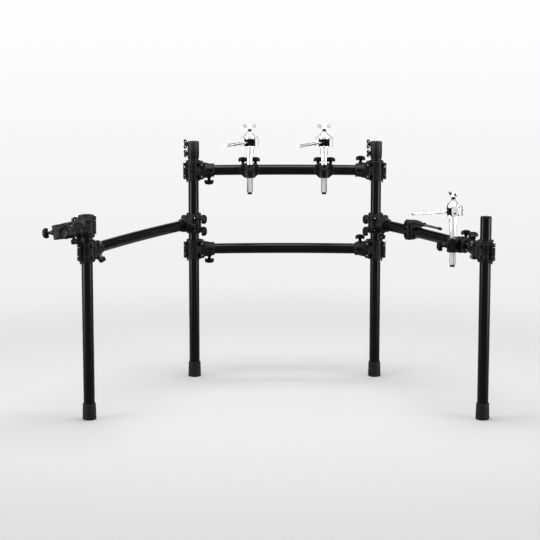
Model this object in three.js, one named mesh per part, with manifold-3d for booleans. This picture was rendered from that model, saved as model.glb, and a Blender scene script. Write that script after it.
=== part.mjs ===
// Drum rack frame: two rear posts joined by two cross pipes, and two wings that swing about the
// rear posts, each a side pipe with a front post at its end. Cast clamps join the tubes, three
// holders with chrome rods carry drum pads, and one arm and one mount carry accessories.
// Millimetres. +X is to the right as seen from the front, +Y points away from the front, +Z is up.

import * as THREE from 'three';
import { mergeVertices } from 'three/addons/utils/BufferGeometryUtils.js';
import Module from 'manifold-3d';

const wasm = await Module();
wasm.setup();

// Layout of the rack. Clamps are stacked on the posts: each clearance is the free length of post
// between one clamp and the next piece above it. The drop is how far a front post ends below the
// upper face of the top clamp.
const layout = {
  rearHalfWidth: 335,
  frontHalfWidth: 665,
  depth: 620,
  lowerPipeHeight: 480,
  sideClearance: 23,
  upperClearance: 121,
  topClearance: 9.6,
  collarClearance: 6,
  postDrop: 7.6,
};

// Steel tube that posts and pipes are cut from. Post bores have the posts' own number of sides
const tube = { radius: 19.05, wall: 1.6, postSides: 16, pipeSides: 16 };

// How far each pipe bows out in the middle, and its number of straight lengths
const rearPipe = { bow: 20, steps: 5 };
const sidePipe = { bow: 14, steps: 7 };

// Gaps between pieces that touch or slide, and how far a cutting shape runs past its piece
const gap = { seat: 0.3, bore: 0.45, socket: 0.7, bolt: 0.6, ball: 2.2, overrun: 5 };

// Rubber foot
const foot = { radius: 23.5, topRadius: 22, height: 56, sole: 6, rim: 3 };

// Plastic collar on a rear post top, with a bore for a rod
const collar = { radius: 21.4, height: 64, shoulder: 14, rodBore: 6.5, rim: 1.5, taper: 8 };

// Wing screw in the side of a collar, with its distance below the collar's top
const wingScrew = {
  hub: 5,
  hubLength: 11,
  wingSpan: 27,
  wingDepth: 5.5,
  wingThickness: 3.5,
  upperDrop: 10,
  lowerDrop: 45,
  sides: 6,
};

// Cast clamp that joins a pipe to a post: the pipe's socket points along the clamp's X axis
const clamp = {
  sleeve: 27.5,
  height: 74,
  reach: 76,
  rootRadius: 30,
  rootPlace: 38,
  endRadius: 23.5,
  pipeSeat: 28,
  splitAngle: THREE.MathUtils.degToRad(39),
  hingeAngle: THREE.MathUtils.degToRad(20),
  splitGap: 1.2,
  boltPlace: 30,
  boltRise: 22,
  flangeStart: 11,
  flangeEnd: 39.5,
  flangeHeight: 60,
  jawFlangeReach: 32,
  bodyFlangeReach: 25,
  bossRadius: 8,
  bossReach: 31,
  boltInset: 5,
  knobPlace: 57,
  knobBoss: 28.5,
  knobBossRadius: 8.5,
  sides: 12,
  holeSides: 6,
};

// Hinge of such a clamp's jaw
const hinge = {
  radius: 34,
  knuckle: 6.5,
  knuckleHeight: 7,
  rise: 30,
  armThickness: 7,
  armRoot: 22,
  pin: 3,
  overhang: 2,
  sides: 6,
};

// Bolt with an oval plastic head, and the plain bolt with a round head
const wingBolt = {
  shank: 3,
  stem: 5.5,
  longStem: 25,
  middleStem: 12.5,
  shortStem: 7,
  headLength: 35,
  headWidth: 20,
  headHeight: 17,
  neckShare: 0.42,
  flareShare: 0.5,
  topShare: 0.85,
  shankSides: 6,
  headSides: 8,
};
const plainBolt = { headRadius: 6.5, headHeight: 6 };

// Clamp that holds a rod beside a pipe: the pipe lies along the X axis, the rod stands at -Y
const holder = {
  halfLength: 37,
  halfFoot: 17,
  topHalf: 29,
  below: 27,
  above: 23,
  front: 23.5,
  back: 35,
  cheek: 10,
  rodPlace: 40,
  noseRadius: 20,
  blockHalfWidth: 18,
  blockHalfHeight: 24,
  webFront: 21,
  boltPlace: 23,
  boltBack: 27,
  boltTop: 14,
  boltDepth: 20,
  archBack: 18,
  hubRadius: 8,
  hubLength: 9,
  sides: 10,
};

// Chrome rod with a sleeve at its top, heights measured from the pipe's axis
const rod = {
  radius: 11,
  bottom: 85,
  cap: 5,
  capInset: 2.5,
  sleeveRadius: 13.5,
  sleeveBottom: 63,
  sleeveTop: 88,
  sides: 16,
};

// Pad mount on the rod: a cage with three plates round a split seat, a bell, a nut and a stud
const padMount = {
  floorRadius: 20,
  floorThickness: 5,
  seatHalf: 20,
  ballHeight: 18.5,
  roof: 31.5,
  roofThickness: 6,
  plateInner: 23,
  plateOuter: 31,
  plateHalf: 11,
  plateBottom: 2,
  shoulderRadius: 20,
  shoulderHeight: 42,
  bellRadius: 9,
  bellHeight: 55,
  nutRadius: 4.8,
  nutTop: 65,
  studRadius: 3,
  studTop: 86,
  windowHeight: 24,
  windowTurn: THREE.MathUtils.degToRad(40),
  sides: 12,
};

// Arm with a ball that the seat of the pad mount holds
const arm = { radius: 5.25, length: 159, tip: 1, ballRadius: 9.5, sides: 8, ballRings: 4 };
const wingNut = {
  hub: 7,
  hubHeight: 16,
  span: 54,
  thickness: 4.5,
  wingHeight: 13,
  droop: 5,
  lift: 2.5,
  sides: 10,
};

// The three pad holders: place along the pipe as a share of the way between its posts, turn of the
// mount, turn of the arm from the mount's open side, dip of the arm, lift of the rod, and turn of
// the two bolt heads on the grip
const padHolders = [
  holderPlace(0.3064, 0, 36, 0, 0, 0),
  holderPlace(0.717, 0, 36, 1, 0, 0),
  holderPlace(0.79, -21, -21, 0, 10, 62),
];

// Accessory arm on top of the left front post
const accessory = {
  turn: THREE.MathUtils.degToRad(4),
  tilt: THREE.MathUtils.degToRad(9),
  clearance: 0.6,
  stubExtra: 1,
  stubWall: 3,
};

// Mount for a sound module on the right side pipe
const mount = {
  placeShare: 0.33,
  halfLength: 16,
  halfWidth: 27,
  above: 39,
  below: 26,
  splitGap: 1.2,
  edge: 6,
  stepLength: 14,
  stepDrop: 4.5,
  plateFloor: 28.3,
  plateLength: 42,
  plateHalfWidth: 12,
  plateThickness: 8,
  barRadius: 4.3,
  barLength: 149,
  tipRadius: 5.5,
  tipLength: 12,
};

// Cap in the top of the right front post
const cap = { rim: 1.2, dome: 3.5, domeRadius: 11, plug: 14, gap: 0.3 };

const chord = Math.hypot(layout.frontHalfWidth - layout.rearHalfWidth, layout.depth);
const wingAngle = Math.atan2(layout.frontHalfWidth - layout.rearHalfWidth, layout.depth);
const postBottom = foot.sole + gap.seat;
const accessoryPlace = clamp.reach + accessory.clearance + holder.halfLength;
const stubEnd = accessoryPlace + holder.halfLength + accessory.stubExtra;
const sidePipeHeight = layout.lowerPipeHeight + clamp.height + layout.sideClearance;
const upperPipeHeight = sidePipeHeight + clamp.height + layout.upperClearance;
const rearPostTop = upperPipeHeight + clamp.height / 2 + layout.collarClearance + collar.height;
const topClampHeight = sidePipeHeight + clamp.height + layout.topClearance;
const frontPostTop = topClampHeight + clamp.height / 2 - layout.postDrop;
const upAxis = new THREE.Vector3(0, 0, 1);
const alongAxis = new THREE.Vector3(1, 0, 0);
const depthAxis = new THREE.Vector3(0, 1, 0);
const frontAxis = new THREE.Vector3(0, -1, 0);

const gloss = material('gloss black paint', '#17181a', 0.25, 0.1);
const casting = material('black cast metal', '#2b2b2c', 0.6, 0.1);
const plastic = material('black plastic', '#1c1c1d', 0.55, 0);
const rubber = material('black rubber', '#1a1a1a', 0.85, 0);
const chrome = material('chrome plate', '#dcdde0', 0.12, 1);
const steel = material('bright steel', '#b4b6b8', 0.3, 1);

function holderPlace(placeShare, mountDegrees, armDegrees, dipDegrees, rodLift, headDegrees) {
  return {
    placeShare,
    mountTurn: THREE.MathUtils.degToRad(mountDegrees),
    armTurn: THREE.MathUtils.degToRad(armDegrees),
    armDip: THREE.MathUtils.degToRad(dipDegrees),
    rodLift,
    headTurn: THREE.MathUtils.degToRad(headDegrees),
  };
}

function material(name, color, roughness, metalness) {
  const made = new THREE.MeshStandardMaterial({ color, roughness, metalness, flatShading: true });
  made.name = name;
  return made;
}

function piece(name, solid, look) {
  const mesh = new THREE.Mesh(geometryOf(solid), look.clone());
  mesh.name = name;
  return mesh;
}

// A closed solid from any closed geometry, its faces turned outwards
function solidOf(geometry) {
  const bare = new THREE.BufferGeometry();
  bare.setAttribute('position', geometry.attributes.position.clone());
  if (geometry.index) {
    bare.setIndex(geometry.index.clone());
  }
  const merged = mergeVertices(bare);
  const triVerts = new Uint32Array(merged.index.array);
  const vertProperties = new Float32Array(merged.attributes.position.array);
  const solid = new wasm.Manifold(new wasm.Mesh({ numProp: 3, vertProperties, triVerts }));
  if (solid.volume() > 0) {
    return solid;
  }
  for (let i = 0; i < triVerts.length; i += 3) {
    [triVerts[i], triVerts[i + 1]] = [triVerts[i + 1], triVerts[i]];
  }
  return new wasm.Manifold(new wasm.Mesh({ numProp: 3, vertProperties, triVerts }));
}

function geometryOf(solid) {
  const mesh = solid.getMesh();
  const geometry = new THREE.BufferGeometry();
  geometry.setAttribute('position', new THREE.BufferAttribute(new Float32Array(mesh.vertProperties), 3));
  geometry.setIndex(new THREE.BufferAttribute(new Uint32Array(mesh.triVerts), 1));
  return geometry;
}

function joined(solids) {
  return solids.reduce((whole, next) => whole.add(next));
}

function cut(solid, tools) {
  return tools.reduce((whole, next) => whole.subtract(next), solid);
}

function changed(solid, matrix) {
  const geometry = geometryOf(solid);
  geometry.applyMatrix4(matrix);
  return solidOf(geometry);
}

function moved(solid, x, y, z) {
  return changed(solid, new THREE.Matrix4().makeTranslation(x, y, z));
}

function turnedUp(solid, angle) {
  return changed(solid, new THREE.Matrix4().makeRotationZ(angle));
}

// A turned solid about the Z axis: the outline holds pairs of radius and height
function turned(outline, sides) {
  const points = outline.map(([radius, height]) => new THREE.Vector2(radius, height));
  const geometry = new THREE.LatheGeometry(points, sides);
  geometry.rotateX(Math.PI / 2);
  return solidOf(geometry);
}

// The same kind of solid with its axis laid along a direction, from a given origin
function aimed(outline, sides, direction, origin = new THREE.Vector3()) {
  const turn = new THREE.Quaternion().setFromUnitVectors(upAxis, direction);
  const matrix = new THREE.Matrix4().compose(origin, turn, new THREE.Vector3(1, 1, 1));
  return changed(turned(outline, sides), matrix);
}

function roundBar(radius, bottom, top) {
  return [[0, bottom], [radius, bottom], [radius, top], [0, top]];
}

function ring(inner, outer, bottom, top) {
  return [[inner, bottom], [outer, bottom], [outer, top], [inner, top], [inner, bottom]];
}

// A box given by its lowest and highest corners
function block(low, high) {
  const geometry = new THREE.BoxGeometry(high[0] - low[0], high[1] - low[1], high[2] - low[2]);
  geometry.translate((high[0] + low[0]) / 2, (high[1] + low[1]) / 2, (high[2] + low[2]) / 2);
  return solidOf(geometry);
}

// A flat outline of X and Z pairs, pushed along Y from one depth to another
function slab(outline, from, to) {
  const shape = new THREE.Shape(outline.map(([x, z]) => new THREE.Vector2(x, z)));
  const geometry = new THREE.ExtrudeGeometry(shape, { depth: to - from, bevelEnabled: false });
  geometry.rotateX(Math.PI / 2);
  geometry.translate(0, to, 0);
  return solidOf(geometry);
}

// Tubes

function straightTube(bottom, top) {
  return turned(ring(tube.radius - tube.wall, tube.radius, bottom, top), tube.postSides);
}

// The stub's outer end is closed by a wall, its inner end stays open
function stubSolid() {
  const bore = roundBar(tube.radius - tube.wall, clamp.pipeSeat - gap.overrun, stubEnd - accessory.stubWall);
  const whole = turned(roundBar(tube.radius, clamp.pipeSeat, stubEnd), tube.postSides);
  return cut(whole, [turned(bore, tube.postSides)]);
}

// The centre line of a bowed pipe between two posts on the X axis. Its first straight length
// points at the first post's axis, so the clamp there can be turned by the same angle.
function pipeLine(span, { bow, steps }, side = 1) {
  const seat = clamp.pipeSeat;
  const share = 1 / steps;
  const reach = (span - 2 * seat * share) / (2 * (1 - share));
  const slope = (2 * bow) / (seat + reach);
  const angle = Math.atan(slope) * side;
  const rise = seat * slope * side;
  const curve = new THREE.QuadraticBezierCurve3(
    new THREE.Vector3(seat, rise, 0),
    new THREE.Vector3(span / 2, reach * slope * side, 0),
    new THREE.Vector3(span - seat, rise, 0),
  );
  return { angle, curve, steps };
}

// The place of a point on such a pipe, a given distance from the first post, and the direction
// of the straight length that it lies on
function placeOnPipe(line, distance) {
  const points = line.curve.getSpacedPoints(line.steps);
  const last = points.findIndex((point) => point.x > distance);
  const [from, to] = [points[last - 1], points[last]];
  const share = (distance - from.x) / (to.x - from.x);
  const point = new THREE.Vector3().lerpVectors(from, to, share);
  return { point, angle: Math.atan2(to.y - from.y, to.x - from.x) };
}

function circlePoints(radius, sides) {
  const points = [];
  for (let i = 0; i < sides; i++) {
    const turn = (i / sides) * Math.PI * 2;
    points.push(new THREE.Vector2(radius * Math.cos(turn), radius * Math.sin(turn)));
  }
  return points;
}

function bowedPipe(line) {
  const section = new THREE.Shape(circlePoints(tube.radius, tube.pipeSides));
  section.holes.push(new THREE.Path(circlePoints(tube.radius - tube.wall, tube.pipeSides)));
  const geometry = new THREE.ExtrudeGeometry(section, {
    steps: line.steps,
    extrudePath: line.curve,
    bevelEnabled: false,
  });
  return solidOf(geometry);
}

// Feet, collars and the cap

function footSolid() {
  const inner = tube.radius + gap.bore;
  return turned([
    [0, 0],
    [foot.radius - foot.rim, 0],
    [foot.radius, foot.rim],
    [foot.topRadius, foot.height],
    [inner, foot.height],
    [inner, foot.sole],
    [0, foot.sole],
  ], tube.postSides);
}

function wingScrewSolid(drop) {
  const outer = collar.radius + wingScrew.hubLength;
  const hub = aimed(
    roundBar(wingScrew.hub, tube.radius + gap.seat + collar.rim, outer),
    wingScrew.sides,
    new THREE.Vector3(-1, 0, 0),
  );
  const wings = block(
    [-outer, -wingScrew.wingThickness / 2, -wingScrew.wingSpan / 2],
    [wingScrew.wingDepth - outer, wingScrew.wingThickness / 2, wingScrew.wingSpan / 2],
  );
  return moved(hub.add(wings), 0, 0, collar.height - drop);
}

function collarSolid() {
  const inner = tube.radius + gap.bore;
  const ledge = collar.height - collar.shoulder;
  const shell = turned([
    [inner, 0],
    [collar.radius - collar.rim, 0],
    [collar.radius, collar.taper],
    [collar.radius, collar.height - collar.rim],
    [collar.radius - collar.rim, collar.height],
    [collar.rodBore, collar.height],
    [collar.rodBore, ledge],
    [inner, ledge],
    [inner, 0],
  ], tube.postSides);
  return joined([shell, wingScrewSolid(wingScrew.upperDrop), wingScrewSolid(wingScrew.lowerDrop)]);
}

function capSolid() {
  const plug = tube.radius - tube.wall - cap.gap;
  return turned([
    [0, -cap.plug],
    [plug, -cap.plug],
    [plug, gap.seat],
    [tube.radius, gap.seat],
    [tube.radius, gap.seat + cap.rim],
    [cap.domeRadius, cap.dome],
    [0, cap.dome],
  ], tube.postSides);
}

// Bolts: each points along Z, its head's stem seats at zero and its shank runs down from there

function wingBoltSolid(shank, stem) {
  const body = turned([
    [0, -shank],
    [wingBolt.shank, -shank],
    [wingBolt.shank, 0],
    [wingBolt.stem, 0],
    [wingBolt.stem, stem + wingBolt.headHeight / 2],
    [0, stem + wingBolt.headHeight / 2],
  ], wingBolt.shankSides);
  return body.add(ovalHead(stem));
}

function ovalHead(bottom) {
  const half = wingBolt.headLength / 2;
  const height = wingBolt.headHeight;
  const head = turned([
    [0, bottom],
    [half * wingBolt.neckShare, bottom],
    [half, bottom + height * wingBolt.flareShare],
    [half * wingBolt.topShare, bottom + height],
    [0, bottom + height],
  ], wingBolt.headSides);
  return changed(head, new THREE.Matrix4().makeScale(1, wingBolt.headWidth / wingBolt.headLength, 1));
}

function plainBoltSolid(shank) {
  return turned([
    [0, -shank],
    [wingBolt.shank, -shank],
    [wingBolt.shank, 0],
    [plainBolt.headRadius, 0],
    [plainBolt.headRadius, plainBolt.headHeight],
    [0, plainBolt.headHeight],
  ], wingBolt.headSides);
}

// Lays a bolt along a direction with the long side of its head along another
function boltAt(bolt, seat, direction, long) {
  const across = new THREE.Vector3().crossVectors(direction, long);
  const matrix = new THREE.Matrix4().makeBasis(long, across, direction);
  return changed(bolt, matrix.setPosition(seat));
}

// Post clamps

// The wedge that the jaw fills: it starts at the split by the pipe's bolts, and ends at the hinge
function jawRoom(margin) {
  const size = clamp.reach + clamp.rootRadius;
  const half = block([-size, margin, -size], [size, size, size]);
  return turnedUp(half, clamp.splitAngle).intersect(turnedUp(half, clamp.hingeAngle));
}

function hingeAt() {
  return new THREE.Vector3(-hinge.radius, 0, 0).applyAxisAngle(upAxis, clamp.hingeAngle);
}

function atHinge(solid) {
  return moved(solid, hingeAt().x, hingeAt().y, 0);
}

function sleeveSolid() {
  return turned(roundBar(clamp.sleeve, -clamp.height / 2, clamp.height / 2), clamp.sides);
}

function postBore() {
  return turned(roundBar(tube.radius + gap.bore, -clamp.height, clamp.height), tube.postSides);
}

// Two knuckles, above and below the middle, with the arms that carry them
function knuckles(top, side) {
  const solids = [];
  for (const sign of [1, -1]) {
    const ends = [sign * top, sign * (top - hinge.knuckleHeight)];
    const [low, high] = [Math.min(...ends), Math.max(...ends)];
    solids.push(atHinge(turned(roundBar(hinge.knuckle, low, high), hinge.sides)));
    const edges = [0, side * hinge.armThickness];
    const web = block(
      [-hinge.radius, Math.min(...edges), low],
      [-hinge.armRoot, Math.max(...edges), high],
    );
    solids.push(turnedUp(web, clamp.hingeAngle));
  }
  return solids;
}

function boltLine(outline, sides, direction) {
  return [1, -1].map((sign) => aimed(
    outline,
    sides,
    direction,
    new THREE.Vector3(clamp.boltPlace, 0, sign * clamp.boltRise),
  ));
}

// The direction of the set bolt that holds the pipe: a lean of zero points it down
function setBoltDirection(lean) {
  return new THREE.Vector3(0, Math.sin(lean), -Math.cos(lean));
}

function setBoltSolid(lean, long) {
  const headBottom = clamp.knobBoss + wingBolt.shortStem;
  const outline = [
    [0, tube.radius + gap.bore],
    [clamp.knobBossRadius, tube.radius + gap.bore],
    [clamp.knobBossRadius, clamp.knobBoss],
    [wingBolt.stem, clamp.knobBoss],
    [wingBolt.stem, headBottom + gap.overrun],
    [0, headBottom + gap.overrun],
  ];
  const bolt = turned(outline, clamp.holeSides).add(ovalHead(headBottom));
  return boltAt(bolt, new THREE.Vector3(clamp.knobPlace, 0, 0), setBoltDirection(lean), long);
}

function clampBody(lean, knobLong) {
  const socket = aimed([
    [0, clamp.rootPlace],
    [clamp.rootRadius, clamp.rootPlace],
    [clamp.endRadius, clamp.reach],
    [0, clamp.reach],
  ], clamp.sides, alongAxis);
  const flange = block(
    [clamp.flangeStart, -clamp.bodyFlangeReach, -clamp.flangeHeight / 2],
    [clamp.flangeEnd, clamp.bodyFlangeReach, clamp.flangeHeight / 2],
  );
  const boss = roundBar(clamp.bossRadius, clamp.bodyFlangeReach - gap.overrun, clamp.bossReach);
  const bosses = boltLine(boss, clamp.holeSides, frontAxis);
  const bore = roundBar(wingBolt.shank + gap.bolt, -clamp.height, clamp.height);
  const pipeBore = roundBar(tube.radius + gap.socket, clamp.pipeSeat - gap.seat, clamp.reach * 2);
  const shell = cut(joined([sleeveSolid(), socket, flange, ...bosses]), [jawRoom(-clamp.splitGap / 2)]);
  const whole = joined([shell, setBoltSolid(lean, knobLong), ...knuckles(hinge.rise, -1)]);
  return cut(whole, [
    postBore(),
    aimed(pipeBore, tube.pipeSides, alongAxis),
    atHinge(turned(roundBar(hinge.pin + gap.bolt, -clamp.height, clamp.height), hinge.sides)),
    ...boltLine(bore, clamp.holeSides, depthAxis),
  ]);
}

// The jaw carries its hinge pin and its two bolts, with oval heads or plain ones
function clampJaw(winged) {
  const flange = block(
    [clamp.flangeStart, 0, -clamp.flangeHeight / 2],
    [clamp.flangeEnd, clamp.jawFlangeReach, clamp.flangeHeight / 2],
  );
  const shell = cut(sleeveSolid().add(flange).intersect(jawRoom(clamp.splitGap / 2)), [postBore()]);
  const half = hinge.rise + hinge.overhang;
  const pin = atHinge(turned(roundBar(hinge.pin, -half, half), hinge.sides));
  const seat = clamp.jawFlangeReach - gap.seat;
  const shank = seat + clamp.bossReach - clamp.boltInset;
  const bolt = winged ? wingBoltSolid(shank, wingBolt.longStem) : plainBoltSolid(shank);
  const bolts = [1, -1].map((sign) => boltAt(
    bolt,
    new THREE.Vector3(clamp.boltPlace, seat, sign * clamp.boltRise),
    depthAxis,
    upAxis,
  ));
  const inner = hinge.rise - hinge.knuckleHeight - gap.bolt;
  return joined([shell, pin, ...bolts, ...knuckles(inner, 1)]);
}

// Rod holders

function holderBore() {
  const reach = holder.halfLength + gap.overrun;
  return aimed(roundBar(tube.radius + gap.socket, -reach, reach), tube.pipeSides, alongAxis);
}

function eachHolderBolt(make) {
  return [1, -1].map((sign) => moved(make(), sign * holder.boltPlace, holder.boltBack, 0));
}

// The upper half carries its two bolts
function holderGrip(headTurn) {
  const outline = [
    [-holder.halfLength, gap.seat],
    [holder.halfLength, gap.seat],
    [holder.halfLength, holder.cheek],
    [holder.topHalf, holder.above],
    [-holder.topHalf, holder.above],
    [-holder.halfLength, holder.cheek],
  ];
  const arch = slab(outline, -holder.front, holder.archBack);
  const shelf = block(
    [-holder.halfLength, 0, gap.seat],
    [holder.halfLength, holder.back, holder.boltTop],
  );
  const seat = holder.boltTop - gap.seat;
  const bolt = turnedUp(wingBoltSolid(seat + holder.boltDepth, wingBolt.middleStem), headTurn);
  const bolts = eachHolderBolt(() => moved(bolt, 0, 0, seat));
  return joined([cut(arch.add(shelf), [holderBore()]), ...bolts]);
}

function holderClamp() {
  const outline = [
    [-holder.halfLength, -gap.seat],
    [-holder.halfLength, -holder.cheek],
    [-holder.halfFoot, -holder.below],
    [holder.halfFoot, -holder.below],
    [holder.halfLength, -holder.cheek],
    [holder.halfLength, -gap.seat],
  ];
  const bowl = slab(outline, -holder.front, holder.back);
  const half = holder.blockHalfHeight;
  const nose = moved(turned(roundBar(holder.noseRadius, -half, half), holder.sides), 0, -holder.rodPlace, 0);
  const neck = block(
    [-holder.blockHalfWidth, -holder.rodPlace, -half],
    [holder.blockHalfWidth, -holder.front - gap.seat, half],
  );
  const web = block(
    [-holder.blockHalfWidth, -holder.rodPlace, -half],
    [holder.blockHalfWidth, -holder.webFront, -gap.seat],
  );
  const hubReach = holder.noseRadius + holder.hubLength;
  const start = new THREE.Vector3(0, -holder.rodPlace, 0);
  const hub = aimed(roundBar(holder.hubRadius, 0, hubReach), clamp.holeSides, frontAxis, start);
  const lockBore = roundBar(wingBolt.shank + gap.bolt, 0, hubReach + gap.overrun);
  const rodBore = turned(roundBar(rod.radius + gap.bore, -clamp.height, clamp.height), rod.sides);
  const boltBore = roundBar(wingBolt.shank + gap.bolt, -clamp.height, clamp.height);
  const gripRoom = block(
    [-holder.halfLength, -holder.front - gap.seat, -gap.seat],
    [holder.halfLength, holder.back, half + gap.overrun],
  );
  return cut(joined([bowl, nose, neck, web, hub]), [
    gripRoom,
    holderBore(),
    moved(rodBore, 0, -holder.rodPlace, 0),
    aimed(lockBore, clamp.holeSides, frontAxis, start),
    ...eachHolderBolt(() => turned(boltBore, clamp.holeSides)),
  ]);
}

function holderLock() {
  const face = holder.rodPlace + holder.noseRadius + holder.hubLength + gap.seat;
  const tip = face - holder.rodPlace - rod.radius - gap.seat;
  const bolt = wingBoltSolid(tip, wingBolt.middleStem);
  return boltAt(bolt, new THREE.Vector3(0, -face, 0), frontAxis, upAxis);
}

function rodSolid() {
  return turned([
    [0, -rod.bottom],
    [rod.radius - rod.capInset, -rod.bottom],
    [rod.radius, rod.cap - rod.bottom],
    [rod.radius, rod.sleeveBottom],
    [rod.sleeveRadius, rod.sleeveBottom],
    [rod.sleeveRadius, rod.sleeveTop],
    [0, rod.sleeveTop],
  ], rod.sides);
}

// The pad mount stands on zero and is open to -Y, with a plate on each of its other three sides
function padMountSolid() {
  const top = turned([
    [0, padMount.roof],
    [padMount.floorRadius, padMount.roof],
    [padMount.shoulderRadius, padMount.shoulderHeight],
    [padMount.bellRadius, padMount.bellHeight],
    [padMount.nutRadius, padMount.bellHeight],
    [padMount.nutRadius, padMount.nutTop],
    [padMount.studRadius, padMount.nutTop],
    [padMount.studRadius, padMount.studTop],
    [0, padMount.studTop],
  ], padMount.sides);
  const floor = turned(roundBar(padMount.floorRadius, 0, padMount.floorThickness), padMount.sides);
  const seat = block(
    [-padMount.seatHalf, -padMount.seatHalf, padMount.floorThickness / 2],
    [padMount.seatHalf, padMount.seatHalf, padMount.roof + gap.seat],
  );
  const plate = slab([
    [0, padMount.roof],
    [padMount.plateInner, padMount.roof],
    [padMount.plateInner, padMount.plateBottom],
    [padMount.plateOuter, padMount.plateBottom],
    [padMount.plateOuter, padMount.roof + padMount.roofThickness],
    [padMount.shoulderRadius - padMount.nutRadius, padMount.shoulderHeight],
    [0, padMount.shoulderHeight],
  ], -padMount.plateHalf, padMount.plateHalf);
  const plates = [0, 1, 2].map((turn) => turnedUp(plate, (turn * Math.PI) / 2));
  const reach = arm.ballRadius + gap.seat;
  const ballRoom = roundBar(
    arm.ballRadius + gap.ball,
    padMount.ballHeight - reach,
    padMount.ballHeight + reach,
  );
  return cut(joined([top, floor, seat, ...plates]), [turned(ballRoom, arm.sides), windowSolid()]);
}

// The opening that the arm swings and tilts in: a wedge that widens from the ball to the front
function windowSolid() {
  const reach = padMount.plateOuter;
  const clear = arm.radius + gap.overrun;
  const spread = reach * Math.tan(padMount.windowTurn);
  const shape = new THREE.Shape([
    new THREE.Vector2(-clear, 0),
    new THREE.Vector2(-clear - spread, -reach),
    new THREE.Vector2(clear + spread, -reach),
    new THREE.Vector2(clear, 0),
  ]);
  const geometry = new THREE.ExtrudeGeometry(shape, { depth: padMount.windowHeight, bevelEnabled: false });
  geometry.translate(0, 0, padMount.ballHeight - padMount.windowHeight / 2);
  return solidOf(geometry);
}

// The arm leaves its ball along +X
function armSolid() {
  const ball = new THREE.SphereGeometry(arm.ballRadius, arm.sides, arm.ballRings);
  ball.rotateX(Math.PI / 2);
  const bar = aimed([
    [0, 0],
    [arm.radius, 0],
    [arm.radius, arm.length - arm.tip],
    [arm.radius - arm.tip, arm.length],
    [0, arm.length],
  ], arm.sides, alongAxis);
  return solidOf(ball).add(bar);
}

function wingNutSolid() {
  const half = wingNut.span / 2;
  const top = wingNut.hubHeight;
  const hub = turned(roundBar(wingNut.hub, 0, top), wingNut.sides);
  const wings = slab([
    [-wingNut.hub, 0],
    [wingNut.hub, 0],
    [half - wingNut.droop, top - wingNut.wingHeight],
    [half, top - wingNut.wingHeight / 2],
    [half - wingNut.droop, top],
    [wingNut.droop - half, top],
    [-half, top - wingNut.wingHeight / 2],
    [wingNut.droop - half, top - wingNut.wingHeight],
  ], -wingNut.thickness / 2, wingNut.thickness / 2);
  const bore = turned(
    roundBar(padMount.studRadius + gap.bore, -gap.overrun, top + gap.overrun),
    wingNut.sides,
  );
  return cut(hub.add(wings), [bore]);
}

// Mount on the right side pipe, with its X axis along the pipe

// A block round the pipe with its corners taken off, smaller on all sides by an inset
function mountBlock(inset, length) {
  const { edge } = mount;
  const halfWidth = mount.halfWidth - inset;
  const above = mount.above - inset;
  const below = mount.below - inset;
  const outline = [
    [edge - halfWidth, -below],
    [halfWidth - edge, -below],
    [halfWidth, edge - below],
    [halfWidth, above - edge],
    [halfWidth - edge, above],
    [edge - halfWidth, above],
    [-halfWidth, above - edge],
    [-halfWidth, edge - below],
  ];
  return turnedUp(slab(outline, -length, mount.halfLength), Math.PI / 2);
}

function mountClampSolid() {
  const end = mount.halfLength + mount.stepLength;
  const whole = mountBlock(0, mount.halfLength).add(mountBlock(mount.stepDrop, end));
  const bore = roundBar(tube.radius + gap.socket, -end * 2, end * 2);
  const slit = block(
    [-end * 2, -mount.halfWidth * 2, -mount.splitGap / 2],
    [end * 2, 0, mount.splitGap / 2],
  );
  return cut(whole, [aimed(bore, tube.pipeSides, alongAxis), slit]);
}

function mountArmSolid() {
  const near = mount.halfLength + mount.stepLength + gap.seat;
  const plate = block(
    [near, -mount.plateHalfWidth, mount.plateFloor],
    [near + mount.plateLength, mount.plateHalfWidth, mount.plateFloor + mount.plateThickness],
  );
  const start = new THREE.Vector3(near, 0, mount.plateFloor + mount.plateThickness / 2);
  const bar = aimed(roundBar(mount.barRadius, 0, mount.barLength), clamp.holeSides, alongAxis, start);
  const tipStart = mount.barLength - mount.tipLength;
  const tip = aimed(
    roundBar(mount.tipRadius, tipStart, mount.barLength + gap.seat),
    clamp.holeSides,
    alongAxis,
    start,
  );
  return joined([plate, bar, tip]);
}

// Assembly

function groupAt(x, y, z, turn = 0) {
  const group = new THREE.Group();
  group.position.set(x, y, z);
  group.rotation.z = turn;
  return group;
}

// Adds one clamp with its jaw. A flipped clamp stands on its head, its socket pointing the same way.
// The long side of its set bolt's head lies along knobLong.
function addClamp(group, name, options) {
  const { x = 0, height, turn, flipped, winged, lean, knobLong = alongAxis } = options;
  const seat = groupAt(x, 0, height, turn);
  const pose = new THREE.Group();
  pose.rotation.x = flipped ? Math.PI : 0;
  pose.add(piece(`${name}_clamp`, clampBody(lean, knobLong), casting));
  pose.add(piece(`${name}_jaw`, clampJaw(winged), casting));
  seat.add(pose);
  group.add(seat);
}

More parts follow.
